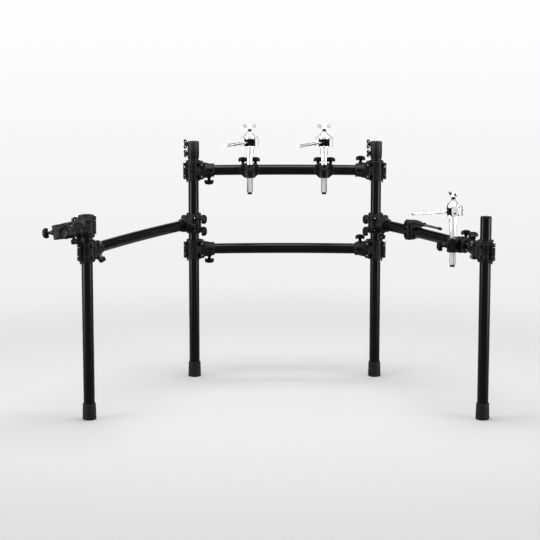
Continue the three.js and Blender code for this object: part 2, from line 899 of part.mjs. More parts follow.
function addHolder(group, number, { mountTurn, armTurn, armDip, rodLift, headTurn }) {
  group.add(piece(`holder_clamp_${number}`, holderClamp(), casting));
  group.add(piece(`holder_grip_${number}`, holderGrip(headTurn), casting));
  group.add(piece(`holder_lock_${number}`, holderLock(), plastic));
  const stand = groupAt(0, -holder.rodPlace, rodLift);
  stand.add(piece(`pad_rod_${number}`, rodSolid(), chrome));
  const head = groupAt(0, 0, rod.sleeveTop + gap.seat, mountTurn);
  head.add(piece(`pad_mount_${number}`, padMountSolid(), chrome));
  const bar = groupAt(0, 0, padMount.ballHeight, -Math.PI / 2 - armTurn);
  const armPiece = piece(`pad_arm_${number}`, armSolid(), chrome);
  armPiece.rotation.y = armDip;
  bar.add(armPiece);
  head.add(bar);
  const nut = piece(`wing_nut_${number}`, wingNutSolid(), chrome);
  nut.position.z = padMount.nutTop + wingNut.lift;
  nut.rotation.z = -mountTurn;
  head.add(nut);
  stand.add(head);
  group.add(stand);
}

function rearFrame() {
  const group = new THREE.Group();
  const span = layout.rearHalfWidth * 2;
  const line = pipeLine(span, rearPipe);
  const postTop = rearPostTop - collar.shoulder - gap.seat;
  for (const [side, sign] of [['left', -1], ['right', 1]]) {
    const stand = groupAt(sign * layout.rearHalfWidth, 0, 0);
    stand.add(piece(`rear_post_${side}`, straightTube(postBottom, postTop), gloss));
    stand.add(piece(`rear_foot_${side}`, footSolid(), rubber));
    const crown = piece(`rod_collar_${side}`, collarSolid(), casting);
    crown.position.z = rearPostTop - collar.height;
    stand.add(crown);
    for (const [level, height] of [['upper', upperPipeHeight], ['lower', layout.lowerPipeHeight]]) {
      addClamp(stand, `${level}_${side}`, {
        height,
        turn: sign < 0 ? line.angle : Math.PI - line.angle,
        flipped: sign > 0,
        winged: false,
        lean: 0,
      });
    }
    group.add(stand);
  }
  for (const [level, height] of [['upper', upperPipeHeight], ['lower', layout.lowerPipeHeight]]) {
    const pipe = piece(`${level}_rear_pipe`, bowedPipe(line), gloss);
    pipe.position.set(-layout.rearHalfWidth, 0, height);
    group.add(pipe);
  }
  for (const index of [0, 1]) {
    const { point, angle } = placeOnPipe(line, padHolders[index].placeShare * span);
    const seat = groupAt(point.x - layout.rearHalfWidth, point.y, upperPipeHeight, angle);
    addHolder(seat, index + 1, padHolders[index]);
    group.add(seat);
  }
  return group;
}

// A wing's own X axis runs from its rear post to its front post, and its pipe bows outwards
function wing(side, outer, rearLean, frontLean) {
  const turn = outer * wingAngle - Math.PI / 2;
  const group = groupAt(outer * layout.rearHalfWidth, 0, 0, turn);
  const line = pipeLine(chord, sidePipe, outer);
  const height = sidePipeHeight;
  const pipe = piece(`side_pipe_${side}`, bowedPipe(line), gloss);
  pipe.position.z = height;
  group.add(pipe);
  addClamp(group, `side_${side}`, {
    height,
    turn: line.angle,
    flipped: outer > 0,
    winged: true,
    lean: rearLean,
  });
  addClamp(group, `front_${side}`, {
    x: chord,
    height,
    turn: Math.PI - line.angle,
    flipped: outer < 0,
    winged: false,
    lean: frontLean,
  });
  const post = groupAt(chord, 0, 0);
  post.add(piece(`front_post_${side}`, straightTube(postBottom, frontPostTop), gloss));
  post.add(piece(`front_foot_${side}`, footSolid(), rubber));
  group.add(post);
  return { group, post, line };
}

function leftWing() {
  const { group, post } = wing('left', -1, Math.PI / 2, THREE.MathUtils.degToRad(146));
  const top = groupAt(0, 0, 0, accessory.turn);
  addClamp(top, 'top', {
    height: topClampHeight,
    turn: 0,
    flipped: true,
    winged: false,
    lean: Math.PI,
    knobLong: depthAxis,
  });
  const stub = piece('stub_pipe', stubSolid(), gloss);
  stub.rotation.y = Math.PI / 2;
  stub.position.z = topClampHeight;
  top.add(stub);
  const flip = groupAt(accessoryPlace, 0, topClampHeight);
  flip.rotation.set(accessory.tilt, Math.PI, 0);
  flip.add(piece('accessory_clamp', holderClamp(), casting));
  flip.add(piece('accessory_grip', holderGrip(0), casting));
  flip.add(piece('accessory_lock', holderLock(), plastic));
  top.add(flip);
  post.add(top);
  return group;
}

function rightWing() {
  const rearLean = THREE.MathUtils.degToRad(165);
  const frontLean = THREE.MathUtils.degToRad(155);
  const { group, post, line } = wing('right', 1, rearLean, frontLean);
  const lid = piece('front_post_cap', capSolid(), plastic);
  lid.position.z = frontPostTop;
  post.add(lid);
  const third = placeOnPipe(line, padHolders[2].placeShare * chord);
  const seat = groupAt(third.point.x, third.point.y, sidePipeHeight, third.angle);
  addHolder(seat, padHolders.length, padHolders[2]);
  group.add(seat);
  const spot = placeOnPipe(line, mount.placeShare * chord);
  const carrier = groupAt(spot.point.x, spot.point.y, sidePipeHeight, spot.angle);
  carrier.add(piece('module_clamp', mountClampSolid(), casting));
  carrier.add(piece('module_arm', mountArmSolid(), steel));
  group.add(carrier);
  return group;
}

// The whole rack, moved so that its origin is the middle of its outer box, on the floor
function rack() {
  const whole = new THREE.Group();
  whole.add(rearFrame(), leftWing(), rightWing());
  whole.updateMatrixWorld(true);
  const box = new THREE.Box3().setFromObject(whole, true);
  const centre = box.getCenter(new THREE.Vector3());
  whole.position.set(-centre.x, -centre.y, -box.min.z);
  whole.updateMatrixWorld(true);
  return whole;
}

export default rack();
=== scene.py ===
import math

import bpy
from mathutils import Matrix, Vector


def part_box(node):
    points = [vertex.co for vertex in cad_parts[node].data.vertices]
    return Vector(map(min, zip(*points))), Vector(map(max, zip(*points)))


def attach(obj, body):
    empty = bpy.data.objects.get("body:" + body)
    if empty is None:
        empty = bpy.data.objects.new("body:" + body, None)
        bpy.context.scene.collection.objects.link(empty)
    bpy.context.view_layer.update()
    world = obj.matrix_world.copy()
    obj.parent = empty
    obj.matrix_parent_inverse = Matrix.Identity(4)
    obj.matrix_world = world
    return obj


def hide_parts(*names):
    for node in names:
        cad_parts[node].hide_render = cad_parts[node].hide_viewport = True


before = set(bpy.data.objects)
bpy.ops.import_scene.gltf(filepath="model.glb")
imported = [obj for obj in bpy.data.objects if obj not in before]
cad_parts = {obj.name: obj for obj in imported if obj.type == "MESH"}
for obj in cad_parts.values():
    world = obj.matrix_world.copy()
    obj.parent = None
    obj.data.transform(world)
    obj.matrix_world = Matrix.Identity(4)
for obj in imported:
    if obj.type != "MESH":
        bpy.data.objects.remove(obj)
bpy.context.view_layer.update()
mm = 0.001
print("frame loaded:", len(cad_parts), "nodes")


# Operators

def deselectAll():
    if bpy.context.mode != "OBJECT":
        bpy.ops.object.mode_set(mode="OBJECT")
    bpy.ops.object.select_all(action="DESELECT")


def pick(piece):
    deselectAll()
    piece.select_set(True)
    bpy.context.view_layer.objects.active = piece


def editAll(piece):
    pick(piece)
    bpy.ops.object.mode_set(mode="EDIT")
    bpy.ops.mesh.select_all(action="SELECT")


# Turns all faces outwards and leaves edit mode
def faceOutwards():
    bpy.ops.mesh.select_all(action="SELECT")
    bpy.ops.mesh.normals_make_consistent(inside=False)
    bpy.ops.object.mode_set(mode="OBJECT")
    return bpy.context.view_layer.objects.active


# A turned shape about the Z axis: a circle is extruded and resized from step to step
def turnedPiece(outline, sides=48, hollow=False):
    deselectAll()
    radius, height = outline[0]
    fill = "NOTHING" if hollow else "NGON"
    bpy.ops.mesh.primitive_circle_add(vertices=sides, radius=radius * mm, fill_type=fill,
                                      location=(0, 0, height * mm))
    bpy.ops.object.transform_apply(location=True)
    editAll(bpy.context.active_object)
    for nextRadius, nextHeight in outline[1:]:
        rise = (nextHeight - height) * mm
        bpy.ops.mesh.extrude_region_move(TRANSFORM_OT_translate={"value": (0, 0, rise)})
        share = nextRadius / radius
        bpy.ops.transform.resize(value=(share, share, 1), center_override=(0, 0, 0))
        radius, height = nextRadius, nextHeight
    if hollow:
        bpy.ops.mesh.select_all(action="DESELECT")
        bpy.ops.mesh.select_mode(type="EDGE")
        bpy.ops.mesh.select_non_manifold()
        bpy.ops.mesh.bridge_edge_loops()
    return faceOutwards()


# A flat outline of X and Z pairs, extruded along Y
def slabPiece(outline, start, end):
    deselectAll()
    bpy.ops.mesh.primitive_circle_add(vertices=len(outline), radius=mm, fill_type="NGON")
    piece = bpy.context.active_object
    for vertex, (x, z) in zip(piece.data.vertices, outline):
        vertex.co = (x * mm, start * mm, z * mm)
    editAll(piece)
    reach = (end - start) * mm
    bpy.ops.mesh.extrude_region_move(TRANSFORM_OT_translate={"value": (0, reach, 0)})
    return faceOutwards()


# A block between two corners, its edges rounded
def blockPiece(low, high, edge=0):
    deselectAll()
    middle = [(a + b) / 2 * mm for a, b in zip(low, high)]
    size = [(b - a) * mm for a, b in zip(low, high)]
    bpy.ops.mesh.primitive_cube_add(size=1, location=middle, scale=size)
    bpy.ops.object.transform_apply(location=True, scale=True)
    piece = bpy.context.active_object
    if edge:
        roundEdges(piece, edge, 3)
    return piece


# A straight pin or drill along Z
def roundPiece(radius, start, end, sides=24):
    return turnedPiece([(radius, start), (radius, end)], sides)


def ballPiece(radius, rings, middle=(0, 0, 0)):
    deselectAll()
    bpy.ops.mesh.primitive_uv_sphere_add(segments=2 * rings, ring_count=rings, radius=radius * mm,
                                         location=[value * mm for value in middle])
    bpy.ops.object.transform_apply(location=True)
    return bpy.context.active_object


def shifted(piece, x=0, y=0, z=0):
    piece.data.transform(Matrix.Translation((x * mm, y * mm, z * mm)))
    return piece


def spin(degrees, axis="Z"):
    return Matrix.Rotation(math.radians(degrees), 4, axis)


def turnedBy(piece, degrees, axis="Z"):
    piece.data.transform(spin(degrees, axis))
    return piece


def stretched(piece, x=1, y=1, z=1):
    piece.data.transform(Matrix.Diagonal((x, y, z, 1)))
    return piece


def applyModifier(piece, kind, **settings):
    pick(piece)
    modifier = piece.modifiers.new(kind.lower(), kind)
    for key, value in settings.items():
        setattr(modifier, key, value)
    bpy.ops.object.modifier_apply(modifier=modifier.name)
    return piece


def roundEdges(piece, width, segments=2, angle=35):
    return applyModifier(piece, "BEVEL", width=width * mm, segments=segments, limit_method="ANGLE",
                         angle_limit=math.radians(angle))


def joinPieces(pieces):
    pick(pieces[0])
    for other in pieces[1:]:
        other.select_set(True)
    bpy.ops.object.join()
    return pieces[0]


# Overlapping shells become one skin with the soft corners of a casting or a moulding
def castSkin(pieces, voxel, passes=4):
    whole = joinPieces(pieces)
    applyModifier(whole, "REMESH", mode="VOXEL", voxel_size=voxel * mm)
    return applyModifier(whole, "SMOOTH", factor=0.5, iterations=passes)


def booleanWith(piece, tools, operation):
    for tool in tools:
        applyModifier(piece, "BOOLEAN", operation=operation, object=tool, solver="MANIFOLD")
        bpy.data.objects.remove(tool)
    return piece


def carved(piece, tools):
    return booleanWith(piece, tools, "DIFFERENCE")


# Materials

def linear(hexColour):
    values = [int(hexColour[i:i + 2], 16) / 255 for i in (1, 3, 5)]
    return tuple(v / 12.92 if v <= 0.04045 else ((v + 0.055) / 1.055) ** 2.4 for v in values) + (1,)


def addNode(tree, kind, settings=None, inputs=None, links=None):
    node = tree.nodes.new("ShaderNode" + kind)
    for key, value in (settings or {}).items():
        setattr(node, key, value)
    for key, value in (inputs or {}).items():
        node.inputs[key].default_value = value
    for key, (source, socket) in (links or {}).items():
        tree.links.new(source.outputs[socket], node.inputs[key])
    return node


# A value between two bounds, spread over another span
def remap(tree, value, start, end, low=0, high=1, **settings):
    inputs = {"From Min": start, "From Max": end, "To Min": low, "To Max": high}
    return addNode(tree, "MapRange", settings, inputs, {"Value": value})


def noise(tree, size, detail, roughness, vector):
    inputs = {"Scale": 1 / (size * mm), "Detail": detail, "Roughness": roughness}
    return addNode(tree, "TexNoise", None, inputs, {"Vector": vector})


def newMaterial(name):
    material = bpy.data.materials.new(name)
    material.use_nodes = True
    return material, material.node_tree


# One finish: colours mixed by a broad cloud, roughness spread by a finer one, and a relief.
# Sizes of the patterns are in millimetres
def finishMaterial(name, look):
    material, tree = newMaterial(name)
    shader = tree.nodes["Principled BSDF"]
    for key, value in look["shader"].items():
        shader.inputs[key].default_value = value
    place = addNode(tree, "TexCoord")
    spread = addNode(tree, "Mapping", inputs={"Scale": look.get("stretch", (1, 1, 1))},
                     links={"Vector": (place, "Object")})
    cloud = noise(tree, look["cloudSize"], 4, 0.6, (spread, "Vector"))
    colour = addNode(tree, "ValToRGB", links={"Fac": (cloud, "Fac")})
    stops = colour.color_ramp.elements
    stops[0].position, stops[1].position = 0.35, 0.65
    stops[0].color, stops[1].color = linear(look["dark"]), linear(look["light"])
    paint = (colour, "Color")
    # Pale edges: partly chipped wear, partly painted highlight on the sharp edges
    if "wornEdgeAndHighlight" in look:
        pointinessSource = addNode(tree, "NewGeometry")
        edge = remap(tree, (pointinessSource, "Pointiness"), *look["edges"])
        # Painted shade: hollows and creases are darkened by their low pointiness
        creviceShadeMask = remap(tree, (pointinessSource, "Pointiness"), *look["paintedCreviceShade"])
        chips = noise(tree, look["chipSize"], 3, 0.5, (place, "Object"))
        share = addNode(tree, "Math", {"operation": "MULTIPLY"},
                        links={0: (edge, "Result"), 1: (chips, "Fac")})
        mixed = addNode(tree, "Mix", {"data_type": "RGBA"}, inputs={"B": linear(look["wornEdgeAndHighlight"])},
                        links={"Factor": (share, "Value"), "A": (colour, "Color")})
        paintedShade = addNode(tree, "VectorMath", {"operation": "SCALE"},
                        links={0: (mixed, "Result"), "Scale": (creviceShadeMask, "Result")})
        paint = (paintedShade, "Vector")
    grain = noise(tree, look["grainSize"], 3, 0.55, (spread, "Vector"))
    rough = remap(tree, (grain, "Fac"), 0.3, 0.7, *look["roughness"])
    relief = addNode(tree, "Bump",
                     inputs={"Strength": look["reliefStrength"], "Distance": look["relief"] * mm},
                     links={"Height": (grain, "Fac")})
    for key, (source, socket) in {"Base Color": paint, "Roughness": (rough, "Result"),
                                  "Normal": (relief, "Normal")}.items():
        tree.links.new(source.outputs[socket], shader.inputs[key])
    return material


# Baked gloss enamel on drawn steel tube: deep black with soft streaks of light, a faint orange peel
tubeEnamel = finishMaterial("baked_gloss_enamel", {
    "shader": {"Metallic": 0, "IOR": 1.5, "Specular IOR Level": 0.07},
    "dark": "#070708", "light": "#0b0b0c", "cloudSize": 60,
    "grainSize": 4, "roughness": (0.17, 0.26), "relief": 0.05, "reliefStrength": 0.35,
})

# Powder coat over die-cast zinc alloy: charcoal, satin and grainy, paler on its edges from chipped wear
# and painted highlight, and darker in its crevices from painted shade
castPowder = finishMaterial("powder_coated_zinc_casting", {
    "shader": {"Metallic": 0, "IOR": 1.5, "Specular IOR Level": 0.08},
    "dark": "#080809", "light": "#101011", "cloudSize": 14,
    "wornEdgeAndHighlight": "#8a8a8c", "edges": (0.53, 0.62), "paintedCreviceShade": (0.45, 0.5, 0.1), "chipSize": 3,
    "grainSize": 1.1, "roughness": (0.42, 0.6), "relief": 0.22, "reliefStrength": 0.5,
})

# Glass-filled nylon, moulded with a spark-eroded texture: dull black knobs
mouldedNylon = finishMaterial("moulded_nylon", {
    "shader": {"Metallic": 0, "IOR": 1.53, "Specular IOR Level": 0.05},
    "dark": "#050505", "light": "#0a0a0a", "cloudSize": 15,
    "grainSize": 0.8, "roughness": (0.36, 0.5), "relief": 0.12, "reliefStrength": 0.4,
})

# Moulded rubber: dead black, dusty where it is handled
footRubber = finishMaterial("moulded_rubber", {
    "shader": {"Metallic": 0, "IOR": 1.52, "Specular IOR Level": 0.1},
    "dark": "#0e0e0e", "light": "#161615", "cloudSize": 12,
    "grainSize": 1.3, "roughness": (0.62, 0.85), "relief": 0.25, "reliefStrength": 0.5,
})

# Chromium plate over polished steel: a mirror with the faintest haze
chromePlate = finishMaterial("chrome_plated_steel", {
    "shader": {"Metallic": 1},
    "dark": "#cfd0d2", "light": "#e2e3e5", "cloudSize": 30,
    "grainSize": 6, "roughness": (0.05, 0.12), "relief": 0.01, "reliefStrength": 0.15,
})

# Zinc plated steel pins and screws, drawn lengthwise: pale and silky
zincSteel = finishMaterial("zinc_plated_steel", {
    "shader": {"Metallic": 1},
    "dark": "#a9acaf", "light": "#c6c8ca", "cloudSize": 8, "stretch": (1, 1, 0.2),
    "grainSize": 0.7, "roughness": (0.24, 0.4), "relief": 0.03, "reliefStrength": 0.3,
})

# Steel screws and nuts blackened in hot oxide: dark with an oily sheen
blackOxide = finishMaterial("black_oxide_steel", {
    "shader": {"Metallic": 1},
    "dark": "#3c3c3e", "light": "#525255", "cloudSize": 5,
    "grainSize": 0.9, "roughness": (0.32, 0.48), "relief": 0.04, "reliefStrength": 0.3,
})


# Places

layout = {
    "rearHalfWidth": 335, "frontHalfWidth": 665, "depth": 620,
    "rearPostTop": 879, "frontPostTop": 690, "postBottom": 6.3,
    "upperPipe": 772, "lowerPipe": 480, "sidePipe": 577, "topClamp": 660.6,
    "tubeRadius": 19.05, "tubeWall": 1.6, "pipeSeat": 28, "accessory": 113.6, "accessoryTilt": 9,
    "stubEnd": 151.6, "rearBow": 20, "rearSteps": 5, "sideBow": 14, "sideSteps": 7,
    "underCollar": 14.3, "plugLip": 1.2, "armSwing": 4,
}


def at(x=0, y=0, z=0, turn=0):
    return Matrix.Translation((x * mm, y * mm, z * mm)) @ Matrix.Rotation(turn, 4, "Z")


def middleOf(node):
    low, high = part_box(node)
    return (low + high) / 2


leftPost, rightPost = middleOf("rear_post_left"), middleOf("rear_post_right")
origin = Matrix.Translation(((leftPost.x + rightPost.x) / 2, (leftPost.y + rightPost.y) / 2, 0))
splay = layout["frontHalfWidth"] - layout["rearHalfWidth"]
chord, wingAngle = math.hypot(splay, layout["depth"]), math.atan2(splay, layout["depth"])


# The bowed centre line of a pipe between two posts on the X axis
def pipeLine(span, bow, steps, side=1):
    seat, share = layout["pipeSeat"], 1 / steps
    reach = (span - 2 * seat * share) / (2 * (1 - share))
    slope = 2 * bow / (seat + reach)
    return {"start": Vector((seat, seat * slope * side, 0)),
            "middle": Vector((span / 2, reach * slope * side, 0)),
            "end": Vector((span - seat, seat * slope * side, 0)),
            "angle": math.atan(slope) * side}


def wingPlace(side):
    return origin @ at(side * layout["rearHalfWidth"], turn=side * wingAngle - math.pi / 2)


rearLine = pipeLine(layout["rearHalfWidth"] * 2, layout["rearBow"], layout["rearSteps"])
leftLine = pipeLine(chord, layout["sideBow"], layout["sideSteps"], -1)
rightLine = pipeLine(chord, layout["sideBow"], layout["sideSteps"], 1)
flip = spin(180, "X")
bothSides = (("left", -1), ("right", 1))
patterns = []


def rearPlace(side, height=0, turn=0):
    return origin @ at(side * layout["rearHalfWidth"], z=height, turn=turn)


def pattern(piece, material, degrees=32):
    pick(piece)
    bpy.ops.object.shade_smooth_by_angle(angle=math.radians(degrees))
    piece.data.materials.clear()
    piece.data.materials.append(material)
    patterns.append(piece)
    return piece


# A copy of a pattern, with its own mesh, moved to its place and hung on its body
def place(piece, name, matrix, body, slotName, nodes=()):
    copy = piece.copy()
    copy.data = piece.data.copy()
    copy.name = name
    copy.data.name = name
    bpy.context.scene.collection.objects.link(copy)
    copy.data.transform(matrix)
    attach(copy, body)
    if nodes:
        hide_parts(*nodes)


# Posts and pipes

def postPattern(bottom, top):
    outer, inner = layout["tubeRadius"], layout["tubeRadius"] - layout["tubeWall"]
    piece = turnedPiece([(outer - 0.5, bottom), (outer, bottom + 0.5), (outer, top - 0.5),
                         (outer - 0.5, top), (inner, top), (inner, bottom)], 64, hollow=True)
    return pattern(piece, tubeEnamel)


def pipePattern(line):
    deselectAll()
    bpy.ops.curve.primitive_bezier_curve_add()
    curve = bpy.context.active_object
    first, last = curve.data.splines[0].bezier_points
    for point, where, sign in ((first, line["start"], -1), (last, line["end"], 1)):
        inward = (line["middle"] - where) * 2 / 3
        point.handle_left_type = point.handle_right_type = "FREE"
        point.co = where * mm
        point.handle_left = (where + inward * sign) * mm
        point.handle_right = (where - inward * sign) * mm
    curve.data.resolution_u = 48
    curve.data.bevel_depth = layout["tubeRadius"] * mm
    curve.data.bevel_resolution = 14
    bpy.ops.object.convert(target="MESH")
    piece = bpy.context.active_object
    editAll(piece)
    bpy.ops.mesh.remove_doubles(threshold=0.01 * mm)
    faceOutwards()
    applyModifier(piece, "SOLIDIFY", thickness=layout["tubeWall"] * mm, offset=-1,
                  use_even_offset=True)
    return pattern(piece, tubeEnamel)


rearPost = postPattern(layout["postBottom"], layout["rearPostTop"] - layout["underCollar"])
frontPost = postPattern(layout["postBottom"], layout["frontPostTop"])
rearPipe, leftPipe, rightPipe = pipePattern(rearLine), pipePattern(leftLine), pipePattern(rightLine)


# The stub's outer end is shut by a pressed-in plug with a shallow dish
def plugPattern():
    end, wide = layout["stubEnd"], layout["tubeRadius"]
    outline = [(wide - 1.9, end - 12), (wide - 1.9, end - layout["plugLip"]), (wide - 0.3, end - 1.1),
               (wide - 0.2, end - 0.5), (wide - 1.2, end), (wide - 3.2, end), (wide - 4.4, end - 0.7),
               (4, end - 0.9), (1, end - 0.9)]
    return pattern(turnedPiece(outline, 64), mouldedNylon)


stub = postPattern(layout["pipeSeat"], layout["stubEnd"] - layout["plugLip"])
stubPlug = plugPattern()

frontPlace = {side: wingPlace(side) @ at(chord) for side in (-1, 1)}
for word, side in bothSides:
    place(rearPost, "rear_post_tube_" + word, rearPlace(side), "rear_frame", "gloss_black_tube",
          ["rear_post_" + word])
    place(frontPost, "front_post_tube_" + word, frontPlace[side], word + "_post", "gloss_black_tube",
          ["front_post_" + word])
    line, source = (leftLine, leftPipe) if side < 0 else (rightLine, rightPipe)
    place(source, "side_pipe_tube_" + word, wingPlace(side) @ at(z=layout["sidePipe"]), word + "_wing",
          "gloss_black_tube", ["side_pipe_" + word])
rearHeights = {"upper": layout["upperPipe"], "lower": layout["lowerPipe"]}
for word, height in rearHeights.items():
    place(rearPipe, word + "_rear_pipe_tube", rearPlace(-1, height), "rear_frame", "gloss_black_tube",
          [word + "_rear_pipe"])
armPlace = frontPlace[-1] @ at(z=layout["topClamp"], turn=math.radians(layout["armSwing"]))
stubPlace = armPlace @ spin(90, "Y")
place(stub, "stub_pipe_tube", stubPlace, "top_arm", "gloss_black_tube", ["stub_pipe"])
place(stubPlug, "stub_pipe_plug", stubPlace, "top_arm", "black_plastic")
print("posts and pipes made")


# Rubber feet

footSizes = {"sole": 20.5, "radius": 23.5, "top": 22, "height": 56, "bore": 19.5, "floor": 6,
             "treads": (17, 13, 9), "treadWidth": 2, "treadDepth": 0.9}


def footPattern():
    size = footSizes
    wide, top, bore, high = (size[key] for key in ("radius", "top", "bore", "height"))
    outline = [(size["sole"], 0), (wide - 0.6, 1.6), (wide, 4), (wide, 12), (22.2, 13), (22.2, 15),
               (23.2, 16), (22.9, 26), (21.9, 26.8), (21.9, 28.2), (22.8, 29), (22.5, 39), (21.6, 39.8),
               (21.6, 41.2), (22.4, 42), (top, 53), (top - 0.9, 55.4), (top - 1.8, high),
               (bore + 0.5, high), (bore, high - 0.6), (bore, size["floor"])]
    piece = roundEdges(turnedPiece(outline, 64), 0.35, 2, 30)
    treads = []
    for outer in size["treads"]:
        inner, deep = outer - size["treadWidth"], size["treadDepth"]
        outline = [(outer, -1), (outer, deep), (inner, deep), (inner, -1)]
        treads.append(turnedPiece(outline, hollow=True))
    return pattern(carved(piece, treads), footRubber)


foot = footPattern()
for word, side in bothSides:
    place(foot, "rear_rubber_" + word, rearPlace(side), "rear_frame", "black_rubber",
          ["rear_foot_" + word])
    place(foot, "front_rubber_" + word, frontPlace[side], word + "_post", "black_rubber",
          ["front_foot_" + word])


# Rod collars with their wing screws

collarSizes = {"radius": 21.4, "height": 64, "bore": 19.5, "rod": 6.5, "ledge": 50,
               "upperDrop": 10, "lowerDrop": 45, "upperTurn": 8, "lowerTurn": -38}
wingScrewSizes = {"loop": 4.9, "wire": 2.9, "wide": 1.15, "low": 0.82, "lean": 16, "reach": 8.8,
                  "rise": 29}


def collarPattern():
    size = collarSizes
    high, wide, bore, rod, ledge = (size[key] for key in ("height", "radius", "bore", "rod", "ledge"))
    shell = turnedPiece([(bore, 0), (wide - 1.5, 0), (wide - 1.1, 1), (wide - 0.6, 6), (wide, 8.4),
                         (wide, high - 2.4), (wide - 0.8, high - 0.8), (wide - 2.4, high), (13, high),
                         (12.2, high - 1.4), (8.2, high - 1.4), (7.4, high), (rod + 0.4, high),
                         (rod, high - 0.5), (rod, ledge), (bore, ledge)], 64, hollow=True)
    bosses = []
    for drop in (size["upperDrop"], size["lowerDrop"]):
        boss = turnedPiece([(7.4, 19.6), (7, 22), (6.2, 23.4), (5.4, 23.8)], 32)
        bosses.append(shifted(turnedBy(boss, -90, "Y"), z=high - drop))
    booleanWith(shell, bosses, "UNION")
    return pattern(carved(shell, [roundPiece(bore, -2, ledge, 64)]), castPowder)


# The screw points along Z: a turned hub on a short neck, and two looped ears
def wingScrewPattern():
    size = wingScrewSizes
    hub = turnedPiece([(3, 17), (3, 23.6), (4.8, 24), (5.2, 26), (4.6, 31), (3.4, 33), (1.5, 33.4)], 32)
    ears = []
    for side in (-1, 1):
        deselectAll()
        bpy.ops.mesh.primitive_torus_add(major_radius=size["loop"] * mm, minor_radius=size["wire"] * mm,
                                         major_segments=32, minor_segments=12,
                                         rotation=(math.pi / 2, 0, 0))
        bpy.ops.object.transform_apply(rotation=True)
        ear = stretched(bpy.context.active_object, x=size["wide"], z=size["low"])
        ear = turnedBy(ear, side * -size["lean"], "Y")
        ears.append(shifted(ear, x=side * size["reach"], z=size["rise"]))
    return pattern(castSkin([hub, *ears], 0.6, 3), mouldedNylon)


collar, wingScrew = collarPattern(), wingScrewPattern()
for word, side in bothSides:
    seat = rearPlace(side, layout["rearPostTop"] - collarSizes["height"])
    place(collar, "rod_collar_body_" + word, seat, "rear_frame", "black_casting",
          ["rod_collar_" + word])
    for level, key in (("high", "upper"), ("low", "lower")):
        spot = seat @ at(z=collarSizes["height"] - collarSizes[key + "Drop"]) @ spin(-90, "Y")
        place(wingScrew, "collar_screw_" + word + "_" + level, spot @ spin(collarSizes[key + "Turn"]),
              "rear_frame", "black_plastic")
print("feet and collars made")


# Knobs: Z runs out along the bolt, zero is its seat, the long side lies along X

knobSizes = {"long": 25, "middle": 12.5, "short": 7, "headHeight": 17, "halfLength": 17.5,
             "halfWidth": 10, "dish": 7.5, "dishPlace": 11.6, "dishRise": 5.4}
shankSizes = {"clamp": 56, "holder": 33}


def knobPattern(stem):
    size = knobSizes
    half, wide, high = size["halfLength"], size["halfWidth"], size["headHeight"]
    side = [(0, 5), (6.5, 4.2), (10, 1.6), (13.5, 0.3), (16.4, 1.8), (half, 6), (17.2, 10.5),
            (15, 14.2), (10, 16.4), (5, high), (0, high - 0.6)]
    mirrored = [(-x, z) for x, z in reversed(side[1:-1])]
    wings = slabPiece([(x, z + stem) for x, z in side + mirrored], -wide, wide)
    oval = stretched(turnedPiece([(half - 0.6, stem - 2), (half, stem + 5), (half, stem + 9),
                                  (half - 1.6, stem + high + 2)], 48), y=wide / half)
    booleanWith(wings, [oval], "INTERSECT")
    neck = turnedPiece([(7, 0), (7, 1), (5.6, 2.4), (5, stem * 0.45 + 1), (5.4, stem * 0.8),
                        (7.6, stem + 2.5), (7.8, stem + 9), (7.4, stem + high),
                        (6.4, stem + high + 0.7), (2, stem + high + 0.9)], 32)
    body = castSkin([wings, neck], 1.0, 3)
    dishes = [ballPiece(size["dish"], 12, (sign * size["dishPlace"], 0, stem + high + size["dishRise"]))
              for sign in (-1, 1)]
    return pattern(carved(body, dishes), mouldedNylon)


longKnob, middleKnob, shortKnob = (knobPattern(knobSizes[k]) for k in ("long", "middle", "short"))
clampShank, holderShank = (pattern(turnedPiece([(2.2, -deep), (3, 1 - deep), (3, 2)], 20), zincSteel)
                           for deep in (shankSizes["clamp"], shankSizes["holder"]))

# Round head screw with a six-sided socket
roundScrew = roundEdges(turnedPiece([(7.6, 0), (7.6, 5), (6.6, 6.4), (4.4, 6.8)], 32), 0.4, 2, 20)
pattern(carved(roundScrew, [roundPiece(3.2, 2.6, 8, 6)]), blackOxide)
print("knobs and screws made")


# Post clamps: the casting and its hinged jaw, which fills a wedge from the split to the hinge

clampSizes = {"splitAngle": 39, "hingeAngle": 20, "hinge": 34, "splitGap": 0.6, "reach": 110,
              "postBore": 19.45, "pipeBore": 19.6, "boltPlace": 30, "boltRise": 22, "jawSeat": 31.7,
              "knobPlace": 57, "knobSeat": 28.5, "tongueAngle": 205, "tonguePlace": 26.2,
              "tongueDrop": 36, "bodyGrooves": (224, 246, 268), "jawGrooves": (84, 128, 175),
              "jawBosses": (104, 152), "bossRise": 20}


def sleeveShell():
    return turnedPiece([(19, -37), (25.6, -37), (27, -35.6), (27.4, -33), (27.5, 0), (27.4, 33),
                        (27, 35.6), (25.6, 37), (19, 37)], 64)


def atHinge(piece):
    angle = math.radians(clampSizes["hingeAngle"])
    reach = clampSizes["hinge"]
    return shifted(piece, -reach * math.cos(angle), -reach * math.sin(angle))


def knuckleShells(top, side):
    shells = []
    for sign in (1, -1):
        low, high = sorted((sign * top, sign * (top - 7)))
        knuckle = [(5.8, low), (6.6, low + 0.8), (6.6, high - 0.8), (5.8, high)]
        shells.append(atHinge(turnedPiece(knuckle, 32)))
        near, far = sorted((0, side * 8))
        arm = blockPiece((-34, near, low), (-20, far, high), 0.8)
        shells.append(turnedBy(arm, clampSizes["hingeAngle"]))
    return shells


# The wedge that belongs to the jaw, from the split to the hinge, less a margin
def jawRoom(margin):
    reach = clampSizes["reach"]
    halves = [turnedBy(blockPiece((-reach, margin, -reach), (reach, reach, reach)), clampSizes[key])
              for key in ("splitAngle", "hingeAngle")]
    return booleanWith(halves[0], halves[1:], "INTERSECT")


